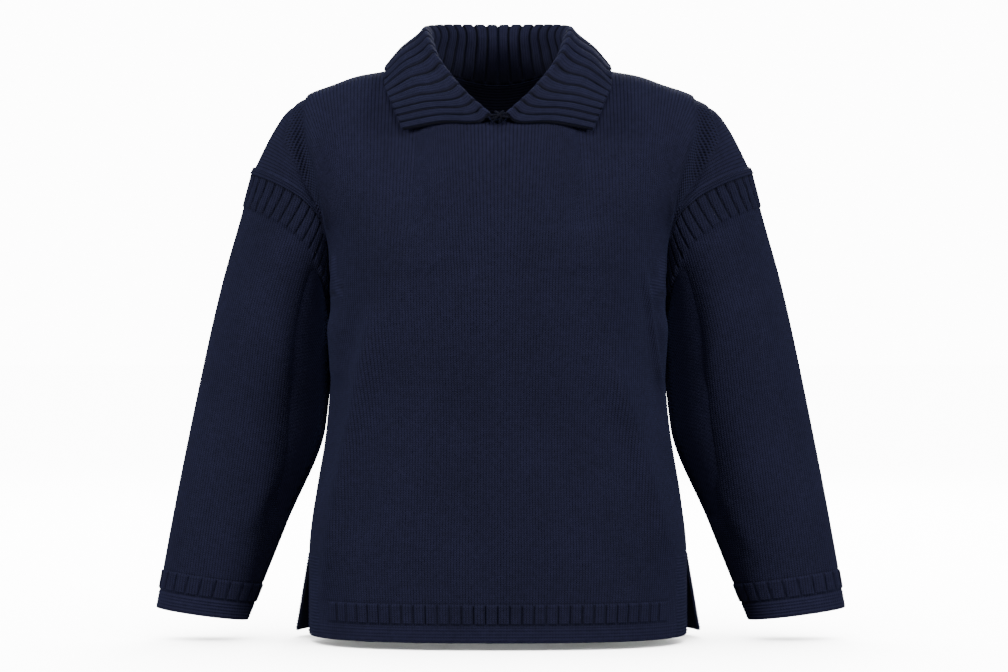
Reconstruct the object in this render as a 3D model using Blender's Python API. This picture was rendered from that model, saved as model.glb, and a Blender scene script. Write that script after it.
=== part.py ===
"""A collared fisherman's sweater, knitted, hollow and filled out as it hangs when worn.

Metres, +Z up. The front faces -Y, and +X is on the right as seen from in front. The origin is at the
middle of the neck, level with the high points of the shoulders. Each piece is a closed wall of cloth,
lofted between sections worked out from the sizes below, with its ribs raised on the face that shows.
"""

import math

import bpy
import numpy as np

GARMENT = "collared_sweater"

# Cloth: its wall, the gap at a seam, how far ribs rise, over what step, and a groove's share of a rib
WALL = 0.0026
SEAM = 0.0003
RIB_RISE = 0.0013
RIB_STEP = 0.002
GROOVE_SHARE = 0.26

# Heights down the body
UNDERARM = -0.245
HEM = -0.6155
SLIT_TOP = -0.530
BAND_TOP = -0.5765
BAND_BOTTOM = -0.5960

# Neck: half its width, how far the front and back are scooped, and how the yoke crowns at its middle
NECK_HALF = 0.080
FRONT_SCOOP = math.radians(48.3)
BACK_SCOOP = math.radians(35.0)
FRONT_CROWN = 0.018
BACK_CROWN = 0.030

# How far the arm stands out of the yoke, in front and behind
ARM_FRONT = 0.052
ARM_BACK = 0.060
ARM_FROM = 0.45

# How sharply the outer columns of the yoke turn down over the shoulder, and the share where that starts
DROP_BEND = 3.5
DROP_FROM = 0.4

# Places across half a panel, as shares from its middle to its edge
NECK_SHARE = 0.34
FOLD_SHARE = 0.70

# Where those two places stand across the chest, and how much of a panel's height share is its yoke
NECK_PLACE = 0.38
FOLD_PLACE = 0.80
YOKE_PART = 0.4

# How far the panels' edges stand back from the side at the foot of the slits
FRONT_SLIT = 0.010
BACK_SLIT = 0.022

# Rib counts
HEM_RIBS = 30
HEAD_RIBS = 36
CUFF_RIBS = 22
COLLAR_RIBS = 38

# The hem's ribs reach this share of the way to each slit, and plain columns stand this clear of them
BAND_REACH = 0.72
BAND_CLEAR = 0.005

# The sleeve's ribbed bands: distances from its seam, and from its cuff
HEAD_BAND = (0.004, 0.040)
CUFF_BAND = (0.041, 0.022)

# The body's sections: half widths and depths of the front and the back, and how square the oval is
BODY_COLUMNS = ("height", "front_half", "back_half", "front_depth", "back_depth", "square")
BODY = (
    (-0.245, 0.1810, 0.1810, 0.127, 0.108, 2.25),
    (-0.320, 0.1800, 0.1800, 0.123, 0.102, 2.25),
    (-0.395, 0.1855, 0.1855, 0.118, 0.098, 2.30),
    (-0.470, 0.1970, 0.1970, 0.119, 0.103, 2.40),
    (-0.530, 0.2030, 0.2040, 0.120, 0.109, 2.50),
    (-0.6155, 0.2030, 0.2210, 0.122, 0.113, 2.60),
)

# The shoulder line, from the neck over the shoulder to the drop of the sleeve
RIDGE_COLUMNS = ("across", "height")
RIDGE = (
    (0.080, 0.000),
    (0.122, -0.010),
    (0.150, -0.015),
    (0.176, -0.024),
    (0.205, -0.037),
    (0.226, -0.052),
    (0.241, -0.073),
    (0.265, -0.120),
)
FOLD_ACROSS = 0.205

# The right arm is held a little further out than the left, from this far across the shoulder
RIGHT_REACH = 0.0085
REACH_FROM = 0.18
REACH_WIDTH = 0.06
REACH_FADE = 0.3

# The sleeve's sections, from its seam to its cuff: outer and inner lines, shift back and half depth
SLEEVE_COLUMNS = ("share", "outer_x", "outer_z", "inner_x", "inner_z", "shift", "depth")
SLEEVE = (
    (0.00, 0.2650, -0.120, 0.1820, -0.245, 0.004, 0.056),
    (0.10, 0.2785, -0.167, 0.1820, -0.266, 0.014, 0.059),
    (0.25, 0.2995, -0.237, 0.1798, -0.304, 0.024, 0.059),
    (0.50, 0.3260, -0.354, 0.1870, -0.394, 0.024, 0.051),
    (0.75, 0.3490, -0.472, 0.2290, -0.500, 0.014, 0.041),
    (1.00, 0.3700, -0.589, 0.2700, -0.603, 0.006, 0.031),
)
HEAD_FADE = 0.35

# The sleeve's underside stands off the body below the underarm: how far, and where along and round it
UNDERARM_ROOM = 0.0035
ROOM_START = 0.025
ROOM_HOLD = 0.06
ROOM_FADE = 0.16
ROOM_WIDTH = 1.1

# The collar's fold crest and outer edge, from the middle of the back to the ends that meet in front
COLLAR_COLUMNS = ("share", "crest_x", "crest_y", "crest_z", "edge_x", "edge_y", "edge_z")
COLLAR = (
    (0.00, 0.0000, 0.0600, 0.0450, 0.0000, 0.0800, -0.0080),
    (0.20, 0.0480, 0.0450, 0.0440, 0.0700, 0.0620, -0.0070),
    (0.42, 0.0785, 0.0040, 0.0370, 0.1215, 0.0080, -0.0050),
    (0.60, 0.0720, -0.0380, 0.0120, 0.1210, -0.0420, -0.0270),
    (0.80, 0.0400, -0.0760, -0.0340, 0.1120, -0.0740, -0.0520),
    (1.00, 0.0090, -0.1015, -0.0640, 0.1010, -0.0900, -0.0790),
)

# The collar's wall, how far it stands off the yoke, its gap at the front, its fold and the fall's swell
COLLAR_WALL = 0.003
COLLAR_CLEAR = 0.0042
COLLAR_END = 0.0008
FOLD_RADIUS = 0.0055
FALL_SWELL = 0.0025

# Soft folds of the body: panel, upper and lower end (across, height), half width and rise
FOLD_COLUMNS = ("panel", "top_x", "top_z", "low_x", "low_z", "half_width", "rise")
FOLDS = (
    ("front", -0.214, -0.058, -0.196, -0.176, 0.0090, -0.0080),
    ("front", -0.198, -0.064, -0.183, -0.196, 0.0100, 0.0045),
    ("front", 0.222, -0.058, 0.202, -0.176, 0.0090, -0.0080),
    ("front", 0.206, -0.064, 0.188, -0.196, 0.0100, 0.0045),
    ("front", -0.177, -0.272, -0.178, -0.345, 0.0120, 0.0060),
    ("front", 0.177, -0.272, 0.178, -0.345, 0.0120, 0.0060),
    ("back", -0.212, -0.062, -0.196, -0.170, 0.0110, -0.0060),
    ("back", 0.218, -0.062, 0.200, -0.170, 0.0110, -0.0060),
    ("front", -0.130, -0.270, -0.184, -0.560, 0.020, 0.0070),
    ("front", 0.122, -0.310, 0.184, -0.540, 0.020, 0.0060),
    ("front", -0.172, -0.300, -0.192, -0.470, 0.012, -0.0040),
    ("front", 0.158, -0.245, 0.178, -0.400, 0.012, -0.0045),
    ("back", -0.120, -0.280, -0.165, -0.560, 0.022, 0.0060),
    ("back", 0.110, -0.300, 0.160, -0.570, 0.022, 0.0065),
    ("back", -0.020, -0.340, 0.010, -0.600, 0.028, -0.0045),
)

# A fold dies away over these shares of its length, at its upper and its lower end, from this much of it
FOLD_START = 0.35
FOLD_END = 0.30
FOLD_OPEN = 0.3

# How sharply the folds die away at a panel's edges, so that its seams stay where they are
EDGE_HOLD = 10

# How many points the fine grids have across half a panel, up a panel, and round and along a sleeve
HALF_GRID = 161
FINE_GRID = 241

# Places across half a panel where its wall has points, and the rows of its yoke and body
YOKE_SHARES = (
    0, 0.045, 0.09, 0.135, 0.18, 0.22, 0.26, 0.30, 0.34,
    0.42, 0.50, 0.58, 0.64, 0.70, 0.75, 0.80, 0.86, 0.93, 1,
)
BODY_SHARES = (0, 0.09, 0.18, 0.26, 0.34, 0.42, 0.50, 0.58, 0.64, 0.70, 0.75, 0.80, 0.86, 0.93, 1)
FALLS = (0, 0.022, 0.07, 0.13, 0.20, 0.28, 0.37, 0.46, 0.55, 0.64, 0.73, 0.82, 0.91, 1)
INNER_FALLS = (0, 0.022, 0.13, 0.28, 0.46, 0.64, 0.82, 1)
BODY_HEIGHTS = (-0.275, -0.310, -0.350, -0.395, -0.440, -0.480, -0.510, -0.530, -0.552)
INNER_HEIGHTS = (-0.310, -0.395, -0.480, -0.530, -0.575, HEM)

# Rows down a sleeve between its bands, and how many points go round it
SLEEVE_SHARES = (0.14, 0.21, 0.29, 0.38, 0.48, 0.58, 0.68, 0.78, 0.86)
SLEEVE_INNER_SHARES = (0.04, 0.10, 0.18, 0.29, 0.42, 0.56, 0.70, 0.85, 1.0)
SLEEVE_SIDES = 28
SLEEVE_INNER_SIDES = 24

# At an armhole seam: how far down the sleeve its direction is read, how far a rim leans, and the gap
RIM_LOOK = 0.015
RIM_LEAN = math.radians(25)
SLEEVE_GAP = 1.3 * SEAM

# Where the collar's guide lines and the rows of its two faces stand, from its seam to its outer edge
COLLAR_KNOTS = np.array([0, 0.30, 0.45, 0.50, 0.55, 0.78, 1.0])
COLLAR_ROWS = np.array([0, 0.06, 0.18, 0.30, 0.40, 0.45, 0.475, 0.50, 0.525, 0.55, 0.62, 0.72, 0.85, 1.0])
COLLAR_BACK_ROWS = np.array([0, 0.15, 0.30, 0.42, 0.46, 0.50, 0.54, 0.62, 0.75, 0.88, 1.0])
COLLAR_SEAM = 1.5 * SEAM
STAND_HOLLOW = 0.002

# Edges sharper than this stay sharp when the cloth is shaded smooth
SHARP_ANGLE = math.radians(50)

# How many of the collar's points are laid over the yoke at a time
BATCH = 200

# Colours and finish of the cloth
NAVY = (0.0137, 0.0159, 0.0410, 1.0)
DEEP_NAVY = (0.0112, 0.0130, 0.0343, 1.0)
ROUGHNESS = 0.9


def column(table, names, name):
    """One named column of a table."""
    return np.array([row[names.index(name)] for row in table])


def through(keys, values, at):
    """A smooth curve through a table's rows, which doesn't swing past them."""
    step = np.diff(keys)
    rise = np.diff(values) / step
    slope = np.empty(len(keys))
    slope[0] = rise[0]
    slope[-1] = rise[-1]
    product = rise[:-1] * rise[1:]
    total = rise[:-1] + rise[1:]
    slope[1:-1] = np.where(product > 0, 2 * product / np.where(product > 0, total, 1), 0)
    at = np.clip(at, keys[0], keys[-1])
    cell = np.clip(np.searchsorted(keys, at, side="right") - 1, 0, len(step) - 1)
    width = step[cell]
    part = (at - keys[cell]) / width
    start = (1 + 2 * part) * (1 - part) ** 2 * values[cell]
    end = part ** 2 * (3 - 2 * part) * values[cell + 1]
    bend = part * (1 - part) * width * ((1 - part) * slope[cell] - part * slope[cell + 1])
    return start + end + bend


def ease(value):
    """Zero below 0, one above 1 and smooth between."""
    value = np.clip(value, 0.0, 1.0)
    return value * value * (3 - 2 * value)


def unit(vectors):
    """Vectors of length one."""
    return vectors / np.maximum(np.linalg.norm(vectors, axis=-1, keepdims=True), 1e-12)


def along(points):
    """The distance of each point along its chain."""
    steps = np.linalg.norm(np.diff(points, axis=0), axis=1)
    return np.concatenate(([0.0], np.cumsum(steps)))


class Sheet:
    """A smooth surface, kept as a fine grid of points, which is read at any two shares."""

    def __init__(self, points):
        self.points = points
        self.find_normals()

    def find_normals(self):
        """Unit normals at the grid's points."""
        across = np.gradient(self.points, axis=1)
        up = np.gradient(self.points, axis=0)
        self.normals = unit(np.cross(across, up))

    def read(self, across, up):
        """Points and unit normals at shares across and up."""
        rows, columns = self.points.shape[:2]
        across = np.clip(np.asarray(across, float), 0, 1) * (columns - 1)
        up = np.clip(np.asarray(up, float), 0, 1) * (rows - 1)
        across, up = np.broadcast_arrays(across, up)
        i = np.minimum(across.astype(int), columns - 2)
        j = np.minimum(up.astype(int), rows - 2)
        a = (across - i)[..., None]
        b = (up - j)[..., None]
        found = []
        for grid in (self.points, self.normals):
            low = grid[j, i] * (1 - a) + grid[j, i + 1] * a
            high = grid[j + 1, i] * (1 - a) + grid[j + 1, i + 1] * a
            found.append(low * (1 - b) + high * b)
        return found[0], unit(found[1])


# The body panels

def quarter_oval(panel, height):
    """Half a panel's level section, from its middle to its side, and the distance along it."""
    heights = column(BODY, BODY_COLUMNS, "height")[::-1]

    def size(name):
        return float(through(heights, column(BODY, BODY_COLUMNS, name)[::-1], height))

    power = 2 / size("square")
    turn = np.linspace(0, math.pi / 2, HALF_GRID)
    across = size(panel + "_half") * np.sin(turn) ** power
    depth = size(panel + "_depth") * np.cos(turn) ** power
    depth[-1] = 0
    points = np.stack([across, depth], axis=1)
    return points, along(points)


def spread(share, height):
    """Where a column of the panel stands along a level section: drawn to the side near the arm."""
    keys = np.array([0, NECK_SHARE, FOLD_SHARE, 1.0])
    chest = through(keys, np.array([0, NECK_PLACE, FOLD_PLACE, 1.0]), share)
    blend = ease((height - SLIT_TOP) / (UNDERARM - SLIT_TOP))
    return share + (chest - share) * blend


def slit_opening(panel, height):
    """How far a panel's edge stands back from the side, below the top of the slit."""
    opening = FRONT_SLIT if panel == "front" else BACK_SLIT
    return opening * ease((SLIT_TOP - height) / (SLIT_TOP - HEM))


def body_row(panel, height, share):
    """A level row of half a panel: distance across, depth and height."""
    points, distance = quarter_oval(panel, height)
    reach = distance[-1] - slit_opening(panel, height)
    place = spread(share, height) * reach
    across = np.interp(place, distance, points[:, 0])
    depth = np.interp(place, distance, points[:, 1])
    return across, depth, np.full_like(across, height)


def top_line(panel, share, reach):
    """The neck edge and then the shoulder line: across, height and the turn of the yoke there."""
    scoop, crown = (FRONT_SCOOP, FRONT_CROWN) if panel == "front" else (BACK_SCOOP, BACK_CROWN)
    angle = np.clip(share / NECK_SHARE, 0, 1) * math.pi / 2
    turn = scoop * np.cos(angle)
    neck_x = NECK_HALF * np.sin(angle)
    crest = crown * np.cos(angle) ** 2
    neck_z = UNDERARM + (crest - UNDERARM) * np.cos(turn)
    ridge_across = column(RIDGE, RIDGE_COLUMNS, "across")
    ridge_across = ridge_across + reach * ease((ridge_across - REACH_FROM) / REACH_WIDTH)
    ridge_height = column(RIDGE, RIDGE_COLUMNS, "height")
    distance = along(np.stack([ridge_across, ridge_height], axis=1))
    fold = np.interp(FOLD_ACROSS, ridge_across, distance)
    keys = np.array([NECK_SHARE, FOLD_SHARE, 1.0])
    place = np.interp(share, keys, np.array([0, fold, distance[-1]]))
    ridge_x = through(distance, ridge_across, place)
    ridge_z = through(distance, ridge_height, place)
    in_neck = share < NECK_SHARE
    across = np.where(in_neck, neck_x, ridge_x)
    height = np.where(in_neck, neck_z, ridge_z)
    return across, height, np.where(in_neck, turn, 0)


def yoke_row(panel, fall, share, reach):
    """A row of half a yoke, from the shoulder line (fall 0) down to the underarm (fall 1)."""
    chest_x, chest_depth, _ = body_row(panel, UNDERARM, share)
    top_x, top_z, start = top_line(panel, share, reach)
    turn = start + (math.pi / 2 - start) * fall
    drop = np.cos(turn) / np.cos(start)
    bend = 1 + DROP_BEND * ease((share - DROP_FROM) / (1 - DROP_FROM))
    arm = (ARM_FRONT if panel == "front" else ARM_BACK) * ease((share - ARM_FROM) / (1 - ARM_FROM))
    across = chest_x + (top_x - chest_x) * drop ** bend
    height = UNDERARM + (top_z - UNDERARM) * drop
    depth = chest_depth * np.sin(turn) + arm * np.sin(2 * turn)
    return across, depth, height


def fold_rise(panel, points):
    """The rise of the soft folds at points of a panel, seen from the front."""
    rise = np.zeros(points.shape[:-1])
    for row in FOLDS:
        fold = dict(zip(FOLD_COLUMNS, row))
        if fold["panel"] != panel:
            continue
        top = np.array([fold["top_x"], fold["top_z"]])
        low = np.array([fold["low_x"], fold["low_z"]])
        line = low - top
        place = points[..., (0, 2)] - top
        share = (place @ line) / (line @ line)
        aside = np.linalg.norm(place - np.clip(share, 0, 1)[..., None] * line, axis=-1)
        fade = ease(share / FOLD_START + FOLD_OPEN) * ease((1 - share) / FOLD_END + FOLD_OPEN)
        rise += fold["rise"] * fade * np.exp(-(aside / fold["half_width"]) ** 2)
    return rise


def panel_sheet(panel):
    """The outer surface of the front or the back: across from left to right, up from hem to shoulder."""
    side = -1 if panel == "front" else 1
    share = np.linspace(0, 1, HALF_GRID)
    ups = np.linspace(0, 1, FINE_GRID)
    rows = []
    for up in ups:
        halves = []
        for reach in (0.0, RIGHT_REACH):
            if up <= 1 - YOKE_PART:
                height = HEM + (UNDERARM - HEM) * up / (1 - YOKE_PART)
                across, depth, level = body_row(panel, height, share)
            else:
                across, depth, level = yoke_row(panel, (1 - up) / YOKE_PART, share, reach)
            halves.append(np.stack([across, side * (depth + SEAM / 2), level], axis=1))
        rows.append(np.concatenate([halves[0][:0:-1] * np.array([-1, 1, 1]), halves[1]]))
    sheet = Sheet(np.array(rows))
    edge = 1 - np.abs(np.linspace(-1, 1, sheet.points.shape[1])) ** EDGE_HOLD
    outward = sheet.normals * (1 if panel == "front" else -1)
    sheet.points = sheet.points + outward * (fold_rise(panel, sheet.points) * edge)[..., None]
    sheet.find_normals()
    if panel == "back":
        sheet.normals = -sheet.normals
    shares = np.abs(np.linspace(-1, 1, sheet.points.shape[1]))
    sheet.normals[:, (0, -1), 1] = 0
    sheet.normals[-1, shares >= NECK_SHARE, 1] = 0
    sheet.normals = unit(sheet.normals)
    return sheet


def up_of_fall(fall):
    """The share up a panel of a row of its yoke."""
    return 1 - fall * YOKE_PART


def up_of_height(height):
    """The share up a panel of a level row of its body."""
    return (height - HEM) / (UNDERARM - HEM) * (1 - YOKE_PART)


# Rows of points and the walls built on them

def across_of(share):
    """A share from the middle, -1 to 1, as a share from left to right."""
    return (np.asarray(share, float) + 1) / 2


def rib_places(start, end, count, closed=False):
    """Places and rises of the points that make a row of ribs: a groove, then a flat top."""
    pitch = (end - start) / count
    places = []
    rises = []
    for rib in range(count):
        places += [start + pitch * (rib + part) for part in (0, GROOVE_SHARE, 1 - GROOVE_SHARE)]
        rises += [0.0, 1.0, 1.0]
    if not closed:
        places.append(end)
        rises.append(0.0)
    return np.array(places), np.array(rises)


def zip_rows(faces, low, high, low_at, high_at):
    """Faces between two chains of points, whose places along the seam need not match."""
    i = 0
    j = 0
    while i < len(low) - 1 or j < len(high) - 1:
        if i < len(low) - 1 and j < len(high) - 1 and abs(low_at[i + 1] - high_at[j + 1]) < 1e-7:
            faces.append((low[i], low[i + 1], high[j + 1]))
            faces.append((low[i], high[j + 1], high[j]))
            i += 1
            j += 1
        elif j == len(high) - 1 or (i < len(low) - 1 and low_at[i + 1] < high_at[j + 1]):
            faces.append((low[i], low[i + 1], high[j]))
            i += 1
        else:
            faces.append((low[i], high[j + 1], high[j]))
            j += 1


def build_wall(name, outer, inner, colour, closed=False):
    """A closed wall from rows of its outer and its inner face. A row is (up, places, points)."""
    points = []
    faces = []
    skins = []
    for rows in (outer, inner):
        skin = []
        for up, places, row in rows:
            numbers = list(range(len(points), len(points) + len(row)))
            points.extend(row.tolist())
            places = list(places)
            if closed:
                numbers.append(numbers[0])
                places.append(places[0] + 1.0)
            skin.append((up, places, numbers))
        skins.append(skin)
        for low, high in zip(skin, skin[1:]):
            zip_rows(faces, low[2], high[2], low[1], high[1])
    for end in (0, -1):
        one, other = skins[0][end], skins[1][end]
        zip_rows(faces, one[2], other[2], one[1], other[1])
    if not closed:
        for end in (0, -1):
            chains = [[row[2][end] for row in skin] for skin in skins]
            ups = [[abs(row[0] - skin[0][0]) for row in skin] for skin in skins]
            zip_rows(faces, chains[0], chains[1], ups[0], ups[1])
    return add_piece(name, points, faces, colour)


def add_piece(name, points, faces, colour):
    """A named object with its own knitted material, shaded smooth up to the edges of its ribs."""
    mesh = bpy.data.meshes.new(name)
    mesh.from_pydata(points, [], faces)
    mesh.validate()
    piece = bpy.data.objects.new(name, mesh)
    bpy.data.collections[GARMENT].objects.link(piece)
    bpy.context.view_layer.objects.active = piece
    piece.select_set(True)
    bpy.ops.object.mode_set(mode="EDIT")
    bpy.ops.mesh.select_all(action="SELECT")
    bpy.ops.mesh.normals_make_consistent(inside=False)
    bpy.ops.object.mode_set(mode="OBJECT")
    piece.select_set(False)
    mesh.shade_smooth()
    mesh.set_sharp_from_angle(angle=SHARP_ANGLE)
    material = bpy.data.materials.new("knitted_cotton_" + name)
    material.use_nodes = True
    shader = material.node_tree.nodes["Principled BSDF"]
    shader.inputs["Base Color"].default_value = colour
    shader.inputs["Roughness"].default_value = ROUGHNESS
    shader.inputs["Metallic"].default_value = 0.0
    mesh.materials.append(material)
    piece.parent = bpy.data.objects[GARMENT + "_neck"]
    return piece


def both_ways(shares):
    """Shares of half a panel, mirrored to the whole of it."""
    return np.array([-share for share in shares[:0:-1]] + list(shares))


def lean(own, other, limit):
    """A rim's direction: half way to the neighbour's, but at most the limit from its own."""
    middle = unit(own + other)
    angle = np.arccos(np.clip((own * middle).sum(-1, keepdims=True), -1, 1))
    share = np.minimum(1, limit / np.maximum(angle, 1e-6))
    return unit(own * (1 - share) + middle * share)


def sleeve_sheet(panels, side):
    """A sleeve's outer surface: across from the drop round its front, up from seam to cuff.

    Side is 1 for +X and -1 for -X, and the surface is given as on the +X side.
    """
    turns = np.linspace(0, 2 * math.pi, FINE_GRID)
    falls = np.where(turns <= math.pi, turns, 2 * math.pi - turns) / math.pi
    front, _ = panels["front"].read(across_of(side), up_of_fall(falls))
    back, _ = panels["back"].read(across_of(side), up_of_fall(falls))
    loop = np.where((turns <= math.pi)[:, None], front, back) * np.array([side, 1, 1])
    reach = RIGHT_REACH if side > 0 else 0.0
    keys = column(SLEEVE, SLEEVE_COLUMNS, "share")
    lines = {name: column(SLEEVE, SLEEVE_COLUMNS, name) for name in SLEEVE_COLUMNS[1:]}
    rows = []
    first = None
    for share in np.linspace(0, 1, FINE_GRID):
        size = {name: float(through(keys, sizes, share)) for name, sizes in lines.items()}
        near = (1 + np.cos(turns)) / 2
        outer_x = size["outer_x"] + reach * (1 - REACH_FADE * share)
        x = size["inner_x"] + (outer_x - size["inner_x"]) * near
        z = size["inner_z"] + (size["outer_z"] - size["inner_z"]) * near
        y = size["shift"] - size["depth"] * np.sin(turns)
        row = np.stack([x, y, z], axis=1)
        if first is None:
            first = loop - row
        row = row + first * (1 - ease(share / HEAD_FADE))
        room = UNDERARM_ROOM * ease(share / ROOM_START) * (1 - ease((share - ROOM_HOLD) / ROOM_FADE))
        row[:, 0] += room * np.exp(-((turns - math.pi) / ROOM_WIDTH) ** 2)
        rows.append(row)
    sheet = Sheet(np.array(rows))
    sheet.normals[:, 0] = unit(sheet.normals[:, 0] + sheet.normals[:, -1])
    sheet.normals[:, -1] = sheet.normals[:, 0]
    centre = sheet.points.mean(axis=1, keepdims=True)
    if ((sheet.points - centre) * sheet.normals).sum() < 0:
        sheet.normals = -sheet.normals
    return sheet


def panel_wall(panel, sheet, sleeves):
    """The wall of a panel, with its hem band ribbed, and its edge chains for the sleeve and the collar."""
    shares = both_ways(YOKE_SHARES)
    low_shares = both_ways(BODY_SHARES)

    def face(share, up, depth, rise=0.0):
        points, normals = sheet.read(across_of(share), up)
        on_edge = np.abs(share) > 0.999
        if up >= 1 - YOKE_PART and on_edge.any():
            fall = (1 - up) / YOKE_PART
            turn = fall / 2 if panel == "front" else 1 - fall / 2
            for place in np.nonzero(on_edge)[0]:
                side = round(share[place])
                _, beside = sleeves[side].read(turn, RIM_LOOK)
                normals[place] = lean(normals[place], beside * np.array([side, 1, 1]), RIM_LEAN)
        return points + normals * (np.asarray(rise)[..., None] - depth)

    outer = []
    inner = []
    for fall in FALLS:
        outer.append((up_of_fall(fall), shares, face(shares, up_of_fall(fall), 0)))
    for height in BODY_HEIGHTS + (BAND_TOP + RIB_STEP,):
        outer.append((up_of_height(height), low_shares, face(low_shares, up_of_height(height), 0)))
    ribs, rises = rib_places(-BAND_REACH, BAND_REACH, HEM_RIBS)
    edges = np.array([share for share in low_shares if abs(share) > BAND_REACH + BAND_CLEAR])
    ribs = np.concatenate([edges[edges < 0], ribs, edges[edges > 0]])
    rises = np.concatenate([np.zeros((edges < 0).sum()), rises, np.zeros((edges > 0).sum())]) * RIB_RISE
    for height in (BAND_TOP, BAND_BOTTOM):
        outer.append((up_of_height(height), ribs, face(ribs, up_of_height(height), 0, rises)))
    for height in (BAND_BOTTOM - RIB_STEP, HEM):
        outer.append((up_of_height(height), low_shares, face(low_shares, up_of_height(height), 0)))
    for fall in INNER_FALLS:
        inner.append((up_of_fall(fall), shares, face(shares, up_of_fall(fall), WALL)))
    for height in INNER_HEIGHTS:
        inner.append((up_of_height(height), low_shares, face(low_shares, up_of_height(height), WALL)))
    build_wall(panel, outer, inner, NAVY)
    return outer, inner


def armhole(face, side, falls):
    """The panels' edge points on one face as a ring round the armhole, and their turns as shares."""
    end = -1 if side > 0 else 0
    front, back = ([points[end] for _, _, points in rows[:len(falls)]] for rows in face)
    ring = [(front[0] + back[0]) / 2] + front[1:-1] + [(front[-1] + back[-1]) / 2] + back[-2:0:-1]
    turns = [fall / 2 for fall in falls] + [1 - fall / 2 for fall in falls[-2:0:-1]]
    return np.array(turns), np.array(ring) * np.array([side, 1, 1])


def sleeve_wall(name, side, sheet, front, back):
    """A sleeve's wall, with its head and cuff bands ribbed. Side is 1 for +X and -1 for -X."""
    length = np.array([along(sheet.points[:, i])[-1] for i in range(sheet.points.shape[1])])
    grid = np.linspace(0, 1, len(length))
    outer = []
    inner = []

    def add(rows, turns, up, offset=0.0):
        points, normals = sheet.read(turns, up)
        lifted = points + normals * np.broadcast_to(offset, turns.shape)[:, None]
        rows.append((float(np.mean(up)), turns, lifted))

    def below(turns, distance):
        return distance / np.interp(turns, grid, length)

    def at_seam(turns, ring):
        return ring + unit(sheet.read(turns, RIM_LOOK)[0] - sheet.read(turns, 0.0)[0]) * SLEEVE_GAP

    plain = np.arange(SLEEVE_SIDES) / SLEEVE_SIDES
    turns, ring = armhole((front[0], back[0]), side, FALLS)
    outer.append((0.0, turns, at_seam(turns, ring)))
    ribs, rises = rib_places(0, 1, HEAD_RIBS, closed=True)
    for distance in HEAD_BAND:
        add(outer, ribs, below(ribs, distance), rises * RIB_RISE)
    add(outer, plain, below(plain, HEAD_BAND[1] + RIB_STEP))
    for share in SLEEVE_SHARES:
        add(outer, plain, share)
    add(outer, plain, 1 - below(plain, CUFF_BAND[0] + RIB_STEP))
    ribs, rises = rib_places(0, 1, CUFF_RIBS, closed=True)
    for distance in CUFF_BAND:
        add(outer, ribs, 1 - below(ribs, distance), rises * RIB_RISE)
    add(outer, plain, 1 - below(plain, CUFF_BAND[1] - RIB_STEP))
    add(outer, plain, 1.0)
    inner_turns, inner_ring = armhole((front[1], back[1]), side, INNER_FALLS)
    facing = ring[[int(np.argmin(np.abs(turns - turn))) for turn in inner_turns]]
    _, normals = sheet.read(inner_turns, RIM_LOOK)
    rim = lean(normals, unit(facing - inner_ring), RIM_LEAN)
    inner.append((0.0, inner_turns, at_seam(inner_turns, facing) - rim * WALL))
    coarse = np.arange(SLEEVE_INNER_SIDES) / SLEEVE_INNER_SIDES
    for share in SLEEVE_INNER_SHARES:
        add(inner, coarse, share, -WALL)
    for rows in (outer, inner):
        for _, _, points in rows:
            points[:, 0] *= side
    build_wall(name, outer, inner, NAVY, closed=True)


def neck_line(panels):
    """The edge that the collar is sewn to, from the middle of the front round the back, and its normals."""
    shares = np.array([share for share in YOKE_SHARES if share <= NECK_SHARE + 1e-6])
    turns = ((-shares, "front"), (-shares[-2::-1], "back"), (shares[1:-1], "back"), (shares[::-1], "front"))
    read = [panels[panel].read(across_of(turn), 1.0) for turn, panel in turns]
    return [np.concatenate([pair[part] for pair in read]) for part in (0, 1)]


def spline(knots, values, at):
    """A smooth curve through knots, for each of many columns at once."""
    slope = np.gradient(values, knots, axis=0)
    cell = np.clip(np.searchsorted(knots, at, side="right") - 1, 0, len(knots) - 2)
    width = (knots[cell + 1] - knots[cell])[:, None, None]
    part = ((at - knots[cell])[:, None, None]) / width
    start = (1 + 2 * part) * (1 - part) ** 2 * values[cell]
    end = part ** 2 * (3 - 2 * part) * values[cell + 1]
    bend = part * (1 - part) * width * ((1 - part) * slope[cell] - part * slope[cell + 1])
    return start + end + bend


def collar_guides(places, seam_inner):
    """The knots of the collar's showing face at places from -1 (one front end) round the back to 1."""
    share = np.abs(places)
    side = np.sign(places)
    keys = column(COLLAR, COLLAR_COLUMNS, "share")
    size = {name: through(keys, column(COLLAR, COLLAR_COLUMNS, name), share) for name in COLLAR_COLUMNS[1:]}
    crest = np.stack([size["crest_x"] * side, size["crest_y"], size["crest_z"]], axis=1)
    edge = np.stack([size["edge_x"] * side, size["edge_y"], size["edge_z"]], axis=1)
    out = unit((edge - crest) * np.array([1, 1, 0]))
    over = out * FOLD_RADIUS
    under = np.array([0, 0, FOLD_RADIUS])
    inner_shoulder = crest - over - under
    outer_shoulder = crest + over - under
    stand = (seam_inner + inner_shoulder) / 2 - out * STAND_HOLLOW
    fall = (outer_shoulder + edge) / 2 + np.array([0, 0, 1]) * FALL_SWELL + out * FALL_SWELL / 2
    return np.array([seam_inner, stand, inner_shoulder, crest, outer_shoulder, fall, edge])


def collar_face(places, seam_edge, rows, panels):
    """The collar's showing face, its fall laid over the yoke."""
    face = spline(COLLAR_KNOTS, collar_guides(places, seam_edge), rows)
    falling = rows > 0.5
    face[falling] = rest_on(face[falling], panels, COLLAR_CLEAR)
    return face


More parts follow.
